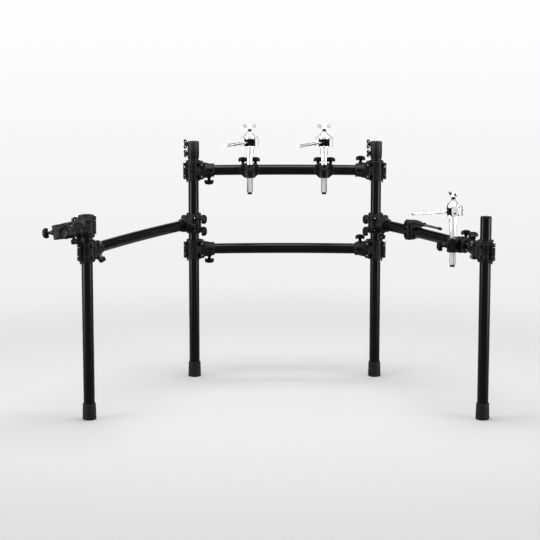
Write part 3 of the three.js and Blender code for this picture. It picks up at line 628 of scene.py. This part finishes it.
def postRoom():
    return roundPiece(clampSizes["postBore"], -60, 60, 64)


def towardsFront(piece, x, z):
    return shifted(turnedBy(piece, 90, "X"), x, 0, z)


def towardsPipe(piece):
    return turnedBy(piece, 90, "Y")


# A slot sunk upright in the sleeve's outside
def grooveTool(angle):
    return turnedBy(blockPiece((25.4, -2.6, -25), (30, 2.6, 25), 1), angle)


def clampBodyPattern():
    size = clampSizes
    rise, far = size["boltRise"], size["boltPlace"]
    socket = towardsPipe(turnedPiece([(20, 8), (27.5, 26), (29.5, 36), (28.2, 46), (25.2, 58), (24, 66),
                                      (24, 69), (25, 70.5), (25, 74.6), (24, 76), (18, 76)], 64))
    shells = [sleeveShell(), socket, blockPiece((12, -22, -30), (38.5, 24, 30), 4),
              blockPiece((44, -30, -13), (70, -14, -1.6), 4),
              blockPiece((44, -30, 1.6), (70, -14, 13), 4),
              blockPiece((20, -27, -29), (37, -14, 29), 5)]
    for sign in (1, -1):
        shells.append(towardsFront(turnedPiece([(10, 16), (9.6, 26), (9, 30), (8, 31), (5, 31)], 32),
                                   far, sign * rise))
    barrel = atHinge(turnedPiece([(5.4, -14.4), (6.4, -13.4), (6.4, 13.4), (5.4, 14.4)], 32))
    web = turnedBy(blockPiece((-33, -6, -14.4), (-20, -0.4, 14.4), 0.8), size["hingeAngle"])
    body = carved(castSkin(shells, 1.4, 5), [jawRoom(-size["splitGap"])])
    booleanWith(body, [castSkin(knuckleShells(30, -1) + [barrel, web], 1.0, 2)], "UNION")
    tools = [postRoom(), towardsPipe(roundPiece(size["pipeBore"], 27.7, 120, 64)),
             blockPiece((41, -60, -1.2), (90, -12, 1.2)), atHinge(roundPiece(3.1, -50, 50)),
             turnedBy(blockPiece((-31, -12, -11), (-28.4, -3, 11)), size["hingeAngle"])]
    tools += [turnedBy(blockPiece((-12, -33, low), (6, -25.6, low + 15)), size["splitAngle"])
              for low in (-30, 15)]
    tools += [grooveTool(angle) for angle in size["bodyGrooves"]]
    for sign in (1, -1):
        tools.append(towardsFront(roundPiece(4.4, 26, 40, 6), far, sign * rise))
        tools.append(towardsFront(roundPiece(3.4, -40, 27), far, sign * rise))
    tools.append(shifted(roundPiece(5.4, 26.8, 40, 32), 46))
    return pattern(carved(body, tools), castPowder)


def clampJawPattern():
    size = clampSizes
    rise, far = size["boltRise"], size["boltPlace"]
    shells = [sleeveShell(), blockPiece((13, 0, -30), (39.5, 27, 30), 4)]
    for sign in (1, -1):
        lug = turnedPiece([(10.5, -32), (10.5, -26), (11, -12)], 32)
        shells.append(towardsFront(lug, far, sign * rise))
        for angle in size["jawBosses"]:
            boss = towardsPipe(turnedPiece([(8, 20), (8, 28.8), (7, 30.2), (3, 30.4)], 32))
            shells.append(turnedBy(shifted(boss, z=sign * size["bossRise"]), angle))
    jaw = booleanWith(castSkin(shells, 1.4, 5), [jawRoom(size["splitGap"])], "INTERSECT")
    booleanWith(jaw, [castSkin(knuckleShells(22.4, 1), 1.0, 2)], "UNION")
    seat = size["jawSeat"]
    tools = [postRoom(), blockPiece((20, seat - 0.3, -40), (60, 60, 40)),
             blockPiece((26, 20, -9), (50, 40, 9))]
    tools += [grooveTool(angle) for angle in size["jawGrooves"]]
    tools.append(turnedBy(blockPiece((26, -5, -9), (32, 5, 9), 1), size["jawBosses"][1]))
    return pattern(carved(jaw, tools), castPowder)


clampBody, clampJaw = clampBodyPattern(), clampJawPattern()
hingePin = turnedPiece([(1.6, -32), (2.8, -31.6), (3, -31), (3, 31), (2.8, 31.6), (1.6, 32)], 24)
pattern(atHinge(hingePin), zincSteel)

# The boss under the set bolt flares into the socket
setBoss = turnedPiece([(13, 20.6), (11, 23), (9.6, 25.4), (9, 28), (8.4, 28.5), (5, 28.5)], 40)
pattern(setBoss, castPowder)

# The small tongue that hangs from the jaw's lower edge
tongue = roundEdges(slabPiece([(-6, 0), (6, 0), (2.4, -6.4), (-0.6, -8)], -1.6, 1.6), 0.7)
pattern(tongue, castPowder)
print("clamp patterns made")


# The jaw's bolts have oval heads that stand upright, or round ones. The set knob leans by its own
# angle, and lies along the pipe or across it
def placeClamp(name, seat, flipped, winged, lean, body, knobTurn=0):
    size = clampSizes
    pose = seat @ flip if flipped else seat
    place(clampBody, name + "_casting", pose, body, "black_casting", [name + "_clamp"])
    place(clampJaw, name + "_hinged_jaw", pose, body, "black_casting", [name + "_jaw"])
    place(hingePin, name + "_hinge_pin", pose, body, "bright_steel")
    for level, sign in (("high", 1), ("low", -1)):
        rise = sign * size["boltRise"]
        bolt = at(size["boltPlace"], size["jawSeat"], rise) @ spin(-90, "X")
        bolt = pose @ bolt @ spin(90)
        head, finish = (longKnob, "black_plastic") if winged else (roundScrew, "black_casting")
        place(head, name + "_bolt_head_" + level, bolt, body, finish)
        place(clampShank, name + "_bolt_shank_" + level, bolt, body, "bright_steel")
    angle = math.radians(lean)
    out = Vector((0, math.sin(angle), -math.cos(angle)))
    along = Vector((1, 0, 0))
    across = out.cross(along)
    basis = Matrix((along, across, out)).transposed().to_4x4()
    spot = pose @ at(size["knobPlace"]) @ basis
    knobSpot = spot @ at(z=size["knobSeat"], turn=math.radians(knobTurn))
    place(setBoss, name + "_set_boss", spot, body, "black_casting")
    place(shortKnob, name + "_set_knob", knobSpot, body, "black_plastic")
    down = 1 if flipped else -1
    hook = at(turn=math.radians(size["tongueAngle"]))
    hook = hook @ at(size["tonguePlace"], 0, down * size["tongueDrop"]) @ spin(90)
    hook = pose @ hook
    place(tongue, name + "_tongue", hook @ flip if flipped else hook, body, "black_casting")


for level, height in rearHeights.items():
    for word, side in bothSides:
        turn = rearLine["angle"] if side < 0 else math.pi - rearLine["angle"]
        placeClamp(level + "_" + word, rearPlace(side, height, turn), side > 0, False, 0, "rear_frame")
knobLeans = {"left": (90, 146), "right": (165, 155), "top": 180}
for word, side, line in (("left", -1, leftLine), ("right", 1, rightLine)):
    rearLean, frontLean = knobLeans[word]
    rear = wingPlace(side) @ at(z=layout["sidePipe"], turn=line["angle"])
    front = wingPlace(side) @ at(chord, z=layout["sidePipe"], turn=math.pi - line["angle"])
    placeClamp("side_" + word, rear, side > 0, True, rearLean, word + "_wing")
    placeClamp("front_" + word, front, side < 0, False, frontLean, word + "_wing")
placeClamp("top", armPlace, True, False, knobLeans["top"], "top_arm", 90)
print("clamps placed")


# Holders: the pipe lies along X, the rod stands at -Y

holderSizes = {"rodPlace": 40, "lockSeat": 69.3, "boltPlace": 23, "boltBack": 27, "boltSeat": 13.7,
               "knobTwist": 12, "pipeBore": 20.5, "headSeat": 88.3, "ballHeight": 18.5, "nutSeat": 67.5}


def holderBore():
    return towardsPipe(roundPiece(holderSizes["pipeBore"], -60, 60, 64))


def atHolderBolt(piece, side):
    return shifted(piece, side * holderSizes["boltPlace"], holderSizes["boltBack"])


def holderClampPattern():
    bowl = slabPiece([(-37, 4), (-37, -9), (-33, -14), (-19, -26), (-15, -27), (15, -27), (19, -26),
                      (33, -14), (37, -9), (37, 4)], -23.5, 35)
    roundEdges(bowl, 2.5, 3)
    rib = slabPiece([(-37.6, 4), (-37.6, -10), (-20, -28.2), (20, -28.2), (37.6, -10), (37.6, 4)],
                    -3, 3)
    nose = turnedPiece([(18.6, -24), (20, -22.6), (20, -9), (18.8, -8), (18.8, 8), (20, 9), (20, 22.6),
                        (18.6, 24)], 48)
    shifted(nose, y=-holderSizes["rodPlace"])
    neck = blockPiece((-18, -42, -23.5), (18, -23.8, 23.5), 3)
    web = blockPiece((-17.5, -40, -22), (17.5, -18, -1), 2)
    hub = turnedPiece([(11, 50), (9.6, 57), (8.4, 62), (8.4, 68), (7.4, 69), (4, 69)], 32)
    towardsFront(hub, 0, 0)
    cheeks = [blockPiece((side * 18 - 2, -44, -20), (side * 18 + 2, -26, 20), 1.4) for side in (-1, 1)]
    body = castSkin([bowl, rib, nose, neck, web, hub, *cheeks], 1.4, 4)
    tools = [blockPiece((-50, -23.8, -0.3), (50, 60, 60)), holderBore(),
             shifted(roundPiece(11.4, -60, 60, 64), y=-holderSizes["rodPlace"]),
             towardsFront(roundPiece(3.4, 40, 90), 0, 0),
             blockPiece((-12, -34, -12), (-40, -29, 12)), blockPiece((12, -34, -12), (40, -29, 12))]
    for side in (-1, 1):
        tools += [atHolderBolt(drill, side) for drill in (roundPiece(3.4, -60, 20),
                                                          roundPiece(6, -60, -13, 6))]
    return pattern(carved(body, tools), castPowder)


def holderGripPattern():
    arch = slabPiece([(-37, 0.3), (37, 0.3), (37, 9), (34.5, 14), (29, 21), (25, 23), (-25, 23),
                      (-29, 21), (-34.5, 14), (-37, 9)], -23.5, 20)
    roundEdges(arch, 2.2, 3)
    shelf = blockPiece((-37, 6, 0.3), (37, 35, 13.4), 2.5)
    rib = slabPiece([(-37.4, 0.5), (37.4, 0.5), (37.4, 9), (28.5, 24.2), (-28.5, 24.2), (-37.4, 9)],
                    -3, 3)
    lugs = [atHolderBolt(turnedPiece([(11, 1), (10.4, 12), (9.4, 14.4)], 32), side) for side in (-1, 1)]
    body = castSkin([arch, shelf, rib, *lugs], 1.4, 4)
    tools = [blockPiece((-60, -60, -40), (60, 60, 0.3)), holderBore(),
             blockPiece((-60, 20, holderSizes["boltSeat"]), (60, 60, 60))]
    for near, far in ((-18, -7), (7, 15)):
        tools += [blockPiece((left, near, 20.6), (left + 16, far, 40)) for left in (-22, 6)]
    return pattern(carved(body, tools), castPowder)


holderClamp, holderGrip = holderClampPattern(), holderGripPattern()


def placeHolder(names, pose, body, knobBody, label, headTurn=0):
    size = holderSizes
    clampNode, gripNode, lockNode = names
    place(holderClamp, label + "_lower_half", pose, body, "black_casting", [clampNode])
    place(holderGrip, label + "_upper_half", pose, body, "black_casting", [gripNode])
    for word, side in bothSides:
        bolt = pose @ at(side * size["boltPlace"], size["boltBack"], size["boltSeat"])
        bolt = bolt @ spin(size["knobTwist"] * side + headTurn)
        place(middleKnob, label + "_knob_" + word, bolt, body, "black_plastic")
        place(holderShank, label + "_shank_" + word, bolt, body, "bright_steel")
    lock = pose @ at(y=-size["lockSeat"]) @ spin(90, "X") @ spin(90)
    place(middleKnob, label + "_lock_knob", lock, knobBody, "black_plastic", [lockNode])


# Rod, its end cap, and the pad mount's pieces. Heights of the rod are from the pipe's axis

def rodPattern():
    rod = turnedPiece([(9.8, -77), (10.6, -76.6), (11, -75.8), (11, 62.4), (11.6, 62.8), (13, 63),
                       (13.5, 63.6), (13.5, 70), (13.1, 70.4), (13.1, 71.2), (13.5, 71.6), (13.5, 87.2),
                       (12.9, 88), (8, 88)], 64)
    tools = [towardsFront(roundPiece(1.9, 12, 20, 20), 0, 77),
             blockPiece((-0.7, -20, 63.2), (0.7, -12.9, 70))]
    return pattern(carved(rod, tools), chromePlate)


# The cage of three plates with round lower ends hangs from the bell and holds the floor ring
def bellPattern():
    bell = turnedPiece([(9, 31.6), (20.4, 31.6), (21, 32.4), (21, 40), (20.2, 42.2), (17.4, 45),
                        (13.8, 48.2), (11, 51.6), (9, 54.6), (7.6, 57), (7, 58.4), (4, 58.4)], 64)
    floor = turnedPiece([(11, 0), (19.4, 0), (20, 0.7), (20, 4), (19.2, 5), (11, 5)], 64)
    plates = []
    for turn in (0, 90, 180):
        plate = slabPiece([(10, 44.6), (10, 42), (22, 36.6), (27.6, 35.4), (29, 33.6), (29, 3),
                           (29.6, 1.8), (31.2, 1.8), (32, 3), (32, 36), (30.4, 38.6), (24, 40.4)],
                          -11, 11)
        ends = shifted(towardsPipe(roundPiece(11, -40, 40, 40)), z=13)
        cutter = booleanWith(blockPiece((0, -11.5, 13), (40, 11.5, 60)), [ends], "UNION")
        booleanWith(plate, [cutter], "INTERSECT")
        carved(plate, [shifted(towardsPipe(roundPiece(3.4, 20, 40)), z=14)])
        roundEdges(plate, 0.5, 2, 40)
        plates.append(turnedBy(plate, turn))
    return pattern(joinPieces([bell, floor, *plates]), chromePlate)


# The seat is split at the ball's height, and open in a wedge for the arm
def seatPattern():
    middle = holderSizes["ballHeight"]
    seat = blockPiece((-19.8, -19.8, 5.2), (19.8, 19.8, 31.3), 2.2)
    wedge = slabPiece([(-10.3, 0), (-36, -31), (36, -31), (10.3, 0)], -12, 12)
    tools = [ballPiece(10.4, 16, (0, 0, middle)), shifted(turnedBy(wedge, 90, "X"), z=middle),
             blockPiece((-30, -30, 17.9), (30, 8, 19.1))]
    for height in (9, 26):
        tools += [blockPiece((-26, -12, height), (-18.6, 12, height + 2)),
                  blockPiece((18.6, -12, height), (26, 12, height + 2))]
    return pattern(carved(seat, tools), mouldedNylon)


def studPattern():
    outline, pitch = [(2.4, 60)], 1.1
    for i in range(18):
        outline += [(3, 65.6 + i * pitch), (2.55, 66.15 + i * pitch)]
    outline += [(2.4, 85.8), (1.2, 86)]
    return pattern(turnedPiece(outline, 24), zincSteel, 60)


def armPattern():
    ball = ballPiece(9.5, 24)
    bar = turnedPiece([(4.6, 4), (4.6, 12), (5.25, 13), (5.25, 148), (4.9, 148.4), (4.9, 149.2),
                       (5.25, 149.6), (5.25, 157.6), (4.5, 159), (2, 159)], 40)
    return pattern(booleanWith(ball, [towardsPipe(bar)], "UNION"), chromePlate)


def wingNutPattern():
    side = [(0, 1), (7, 0.8), (12, 1.6), (19, 3.6), (24, 4.6), (26.6, 7), (27, 10), (25.6, 13.6),
            (22, 15.8), (16, 15.4), (10, 13), (0, 12)]
    mirrored = [(-x, z) for x, z in reversed(side[1:-1])]
    wings = slabPiece(side + mirrored, -2.25, 2.25)
    hub = turnedPiece([(6.4, 0), (7, 0.6), (7, 3), (6, 8), (5.2, 14.6), (4.6, 16), (3.6, 16)], 32)
    body = castSkin([wings, hub], 0.8, 3)
    return pattern(carved(body, [roundPiece(3.35, -3, 20)]), chromePlate)


rodTube, bell, seat = rodPattern(), bellPattern(), seatPattern()
stud, arm, wingNut = studPattern(), armPattern(), wingNutPattern()
rodCap = turnedPiece([(8.4, -75), (8.6, -82.6), (8.2, -84.4), (7, -85), (3.5, -85)])
pattern(rodCap, mouldedNylon)
nut = turnedPiece([(6.4, 58.6), (7.4, 59.1), (7.4, 64.9), (6.4, 65.4), (2.7, 65.4)], 6)
pattern(roundEdges(nut, 0.3), mouldedNylon)
print("holder patterns made")


# A point of a pipe's straight lengths, a distance from its first post, with the turn there
def alongPipe(line, steps, distance):
    points, lengths, fine = [], [0], 400
    for i in range(fine + 1):
        t = i / fine
        points.append(line["start"] * (1 - t) ** 2 + line["middle"] * 2 * t * (1 - t)
                      + line["end"] * t * t)
        if i:
            lengths.append(lengths[-1] + (points[i] - points[i - 1]).length)
    marks = []
    for i in range(steps + 1):
        goal = lengths[-1] * i / steps
        nearest = min(range(len(lengths)), key=lambda k: abs(lengths[k] - goal))
        marks.append(points[nearest])
    last = next(i for i, mark in enumerate(marks) if mark.x > distance)
    before, after = marks[last - 1], marks[last]
    share = (distance - before.x) / (after.x - before.x)
    return before.lerp(after, share), math.atan2(after.y - before.y, after.x - before.x)


plainHolder = {"mountTurn": 0, "armTurn": 36, "armDip": 0, "rodLift": 0, "headTurn": 0}
padHolders = [
    {"distance": 205.3}, {"distance": 480.4, "armDip": 1},
    {"distance": 554.9, "mountTurn": -21, "armTurn": -21, "rodLift": 10, "headTurn": 62},
]
for number, given in enumerate(padHolders, 1):
    look = {**plainHolder, **given}
    onWing = number == 3
    line, steps = (rightLine, layout["sideSteps"]) if onWing else (rearLine, layout["rearSteps"])
    base = wingPlace(1) if onWing else rearPlace(-1)
    height = layout["sidePipe"] if onWing else layout["upperPipe"]
    point, turn = alongPipe(line, steps, look["distance"])
    pose = base @ at(point.x, point.y, height, turn)
    n = str(number)
    placeHolder(["holder_clamp_" + n, "holder_grip_" + n, "holder_lock_" + n], pose, "holder_" + n,
                "holder_knob_" + n, "holder_" + n, look["headTurn"])
    stand = pose @ at(y=-holderSizes["rodPlace"], z=look["rodLift"])
    place(rodTube, "rod_" + n + "_chrome", stand, "rod_" + n, "chrome_plate", ["pad_rod_" + n])
    place(rodCap, "rod_" + n + "_end_cap", stand, "rod_" + n, "black_plastic")
    head = stand @ at(z=holderSizes["headSeat"], turn=math.radians(look["mountTurn"]))
    place(bell, "mount_" + n + "_cage", head, "mount_" + n, "chrome_plate", ["pad_mount_" + n])
    place(seat, "mount_" + n + "_seat", head, "mount_" + n, "black_plastic")
    place(stud, "mount_" + n + "_stud", head, "mount_" + n, "bright_steel")
    place(nut, "mount_" + n + "_nut", head, "mount_" + n, "black_casting")
    bar = head @ at(z=holderSizes["ballHeight"], turn=-math.pi / 2 - math.radians(look["armTurn"]))
    bar = bar @ spin(look["armDip"], "Y")
    place(arm, "arm_" + n + "_bar", bar, "arm_" + n, "chrome_plate", ["pad_arm_" + n])
    ears = head @ at(z=holderSizes["nutSeat"], turn=-math.radians(look["mountTurn"]))
    place(wingNut, "nut_" + n + "_wings", ears, "nut_" + n, "chrome_plate", ["wing_nut_" + n])
turned = armPlace @ at(layout["accessory"]) @ spin(layout["accessoryTilt"], "X")
turned = turned @ spin(180, "Y")
placeHolder(["accessory_clamp", "accessory_grip", "accessory_lock"], turned, "accessory_holder",
            "accessory_knob", "accessory")
print("holders placed")


# Mount for a sound module, along the right side pipe

moduleSizes = {"distance": 231.8, "bore": 19.75, "boltPlaces": (-6, 22), "boltSide": -15,
               "barHeight": 32.3, "start": 30.3, "bar": 149, "floor": 28.3, "plateTop": 36.3,
               "plateEnd": 72.3}


def moduleBlock(inset, start, end):
    wide, high, low, edge = 27 - inset, 39 - inset, inset - 26, 6
    outline = [(edge - wide, low), (wide - edge, low), (wide, low + edge), (wide, high - edge),
               (wide - edge, high), (edge - wide, high), (-wide, high - edge), (-wide, low + edge)]
    return roundEdges(turnedBy(slabPiece(outline, -end, -start), 90), 2.2, 3)


def moduleClampPattern():
    size = moduleSizes
    shells = [moduleBlock(0, -16, 15), moduleBlock(4.5, -15, 30),
              blockPiece((-14, -25, -29), (12, 6, -20), 2.5),
              blockPiece((-13, -25, 34), (11, 10, 40.4), 2.5)]
    for x, rise in zip(size["boltPlaces"], (41, 36.4)):
        lug = turnedPiece([(8.4, 26), (8.4, rise), (7.4, rise + 1.4), (4, rise + 1.4)], 32)
        shells.append(shifted(lug, x, size["boltSide"]))
    bolt = turnedPiece([(6, 16), (6, 25.4), (5, 26.4)], 32)
    body = castSkin(shells, 1.2, 3)
    tools = [towardsPipe(roundPiece(size["bore"], -90, 90, 64)),
             blockPiece((-90, -90, -0.9), (90, -12, 0.9)),
             blockPiece((15.4, -60, -60), (17, -21.5, 60)),
             blockPiece((15.4, -60, 33), (17, 60, 60)), blockPiece((15.4, 21.5, -60), (17, 60, 60)),
             blockPiece((-9, -1, 38.6), (7, 7, 50)), blockPiece((-12, -40, 5), (8, -20, 31)),
             blockPiece((-12, -40, -20), (8, -22, -5)), blockPiece((27.4, -19, 21.5), (34, 19, 26)),
             blockPiece((18, -40, -16), (27, -20.4, 28))]
    tools += [shifted(roundPiece(3.6, 32, 60, 6), x, size["boltSide"]) for x in size["boltPlaces"]]
    carved(body, tools)
    return pattern(booleanWith(body, [towardsFront(bolt, -1, 18)], "UNION"), castPowder)


def alongBar(outline):
    bar = towardsPipe(turnedPiece(outline, 32))
    return shifted(bar, moduleSizes["start"], 0, moduleSizes["barHeight"])


def moduleArmPattern():
    floor, top, end = (moduleSizes[key] for key in ("floor", "plateTop", "plateEnd"))
    shells = [blockPiece((moduleSizes["start"], -12, floor), (end, 12, top), 1),
              blockPiece((end - 9, -12, floor + 1), (end - 4, 12, top + 3), 1),
              alongBar([(5.6, 30), (6.4, 31), (6.4, 47), (5.2, 48.4)])]
    shells += [shifted(turnedPiece([(4, top - 3), (4, top + 3.4), (3, top + 4.2)], 32), 44, y)
               for y in (6, -6)]
    holes = [shifted(roundPiece(2.6, top - 9, top + 20, 20), 56, y) for y in (7.6, -7.6)]
    return pattern(carved(castSkin(shells, 0.9, 3), holes), castPowder)


def moduleBarPattern():
    end = moduleSizes["bar"] - 2
    return pattern(alongBar([(3, 44), (4.3, 45.2), (4.3, end), (2, end)]), blackOxide)


def moduleTipPattern():
    end = moduleSizes["bar"]
    return pattern(alongBar([(4.6, end - 14), (5.4, end - 13.2), (5.4, end - 2.4), (4.6, end - 0.4),
                             (2, end + 0.2)]), mouldedNylon)


point, turn = alongPipe(rightLine, layout["sideSteps"], moduleSizes["distance"])
carrier = wingPlace(1) @ at(point.x, point.y, layout["sidePipe"], turn)
for source, name, slotName, nodes in (
        (moduleClampPattern(), "block", "black_casting", ["module_clamp"]),
        (moduleArmPattern(), "plate", "black_casting", ["module_arm"]),
        (moduleBarPattern(), "bar", "bright_steel", ()),
        (moduleTipPattern(), "tip", "black_plastic", ())):
    place(source, "module_mount_" + name, carrier, "module_mount", slotName, nodes)


# Cap in the right front post

postCap = turnedPiece([(17, -14), (17.15, -13), (17.15, 0.3), (18.6, 0.3), (19.05, 0.8), (18.8, 1.6),
                       (16, 2.6), (11, 3.3), (5, 3.5)], 64)
pattern(postCap, mouldedNylon)
place(postCap, "front_post_plug", frontPlace[1] @ at(z=layout["frontPostTop"]), "right_post",
      "black_plastic", ["front_post_cap"])
for piece in patterns:
    bpy.data.objects.remove(piece)
print("module mount and cap made")


# Floor, backdrop and light

stageSizes = {"floor": 3.2, "fade": (1.0, 2.2), "backdrop": (-0.317, -0.0276), "room": 0.42}


def makeFloor():
    deselectAll()
    bpy.ops.mesh.primitive_circle_add(vertices=96, radius=stageSizes["floor"], fill_type="NGON")
    floor = bpy.context.active_object
    floor.name = "floor"
    material, tree = newMaterial("pale_floor")
    shader = tree.nodes["Principled BSDF"]
    shader.inputs["Roughness"].default_value = 0.9
    shader.inputs["Specular IOR Level"].default_value = 0.1
    shader.inputs["Base Color"].default_value = linear("#dadada")
    spot = addNode(tree, "TexCoord")
    reach = addNode(tree, "VectorMath", {"operation": "LENGTH"}, links={0: (spot, "Object")})
    fade = remap(tree, (reach, "Value"), *stageSizes["fade"], interpolation_type="SMOOTHSTEP")
    clear = addNode(tree, "BsdfTransparent")
    blend = addNode(tree, "MixShader",
                    links={0: (fade, "Result"), 1: (shader, "BSDF"), 2: (clear, "BSDF")})
    tree.links.new(blend.outputs["Shader"], tree.nodes["Material Output"].inputs["Surface"])
    floor.data.materials.append(material)


def makeWorld():
    world = bpy.data.worlds.new("studio")
    bpy.context.scene.world = world
    world.use_nodes = True
    tree = world.node_tree
    tree.nodes.clear()
    spot = addNode(tree, "TexCoord")
    split = addNode(tree, "SeparateXYZ", links={"Vector": (spot, "Generated")})
    ramp = remap(tree, (split, "Z"), *stageSizes["backdrop"])
    shade = addNode(tree, "Mix", {"data_type": "RGBA"},
                    inputs={"A": linear("#e2e2e2"), "B": linear("#fefefe")},
                    links={"Factor": (ramp, "Result")})
    backdrop = addNode(tree, "Background", inputs={"Strength": 1},
                       links={"Color": (shade, "Result")})
    room = addNode(tree, "Background",
                   inputs={"Color": linear("#ffffff"), "Strength": stageSizes["room"]})
    path = addNode(tree, "LightPath")
    seen = (path, "Is Camera Ray")
    for ray in ("Is Glossy Ray", "Is Transmission Ray"):
        either = addNode(tree, "Math", {"operation": "MAXIMUM"}, links={0: seen, 1: (path, ray)})
        seen = (either, "Value")
    both = addNode(tree, "MixShader",
                   links={0: seen, 1: (room, "Background"), 2: (backdrop, "Background")})
    addNode(tree, "OutputWorld", links={"Surface": (both, "Shader")})


def addLamp(name, where, target, size, power):
    data = bpy.data.lights.new(name, "AREA")
    data.shape = "RECTANGLE"
    data.size, data.size_y = size
    data.energy = power
    lamp = bpy.data.objects.new(name, data)
    bpy.context.scene.collection.objects.link(lamp)
    lamp.location = where
    lamp.rotation_euler = (Vector(target) - Vector(where)).to_track_quat("-Z", "Y").to_euler()


# A card that only mirrors see: pale cards draw the tubes' streaks, dark ones their edges
def addCard(name, where, target, size, colour, strength):
    deselectAll()
    bpy.ops.mesh.primitive_plane_add(size=1)
    card = bpy.context.active_object
    card.name = name
    card.scale = (size[0], size[1], 1)
    card.location = where
    card.rotation_euler = (Vector(target) - Vector(where)).to_track_quat("Z", "Y").to_euler()
    material, tree = newMaterial(name)
    tree.nodes.clear()
    glow = addNode(tree, "Emission", inputs={"Color": linear(colour), "Strength": strength})
    addNode(tree, "OutputMaterial", links={"Surface": (glow, "Emission")})
    card.data.materials.append(material)
    for ray in ("camera", "diffuse", "transmission", "shadow", "volume_scatter"):
        setattr(card, "visible_" + ray, False)


makeFloor()
makeWorld()
addLamp("overhead", (0, 0.2, 3.6), (0, 0.2, 0), (2.4, 2.0), 102)
for word, side in bothSides:
    addLamp(word + "Softbox", (side * 3.4, -1.2, 1.5), (0, 0, 0.6), (0.8, 2.4), 22)
for word, side in bothSides:
    addCard(word + "Card", (side * 4.2, -1.3, 1.1), (0, 0, 0.7), (2.4, 3.0), "#ffffff", 19)
addCard("topCard", (0, 0.2, 3.8), (0, 0.2, 0.7), (4.4, 1.2), "#ffffff", 18)
for word, side in bothSides:
    addCard(word + "Flag", (side * 3.6, 4.4, 0.7), (0, 0, 0.6), (3.4, 5), "#0b0b0b", 1)
addCard("backFlag", (0, 4.5, 4), (0, 0, 0.8), (7, 2.4), "#0b0b0b", 1)

view = {"lens": 117.5, "sensor": 36, "shift": -0.1, "place": (-54, -6422, 1552), "tilt": 81.59}

camera = bpy.data.cameras.new("camera")
camera.lens = view["lens"]
camera.sensor_width = view["sensor"]
camera.shift_y = view["shift"]
camera.clip_end = 60
cameraObject = bpy.data.objects.new("camera", camera)
bpy.context.scene.collection.objects.link(cameraObject)
cameraObject.location = (origin @ at(*view["place"])).translation
cameraObject.rotation_euler = (math.radians(view["tilt"]), 0, 0)
bpy.context.scene.camera = cameraObject
bpy.context.scene.view_settings.view_transform = "Standard"
print("floor, light and camera made")
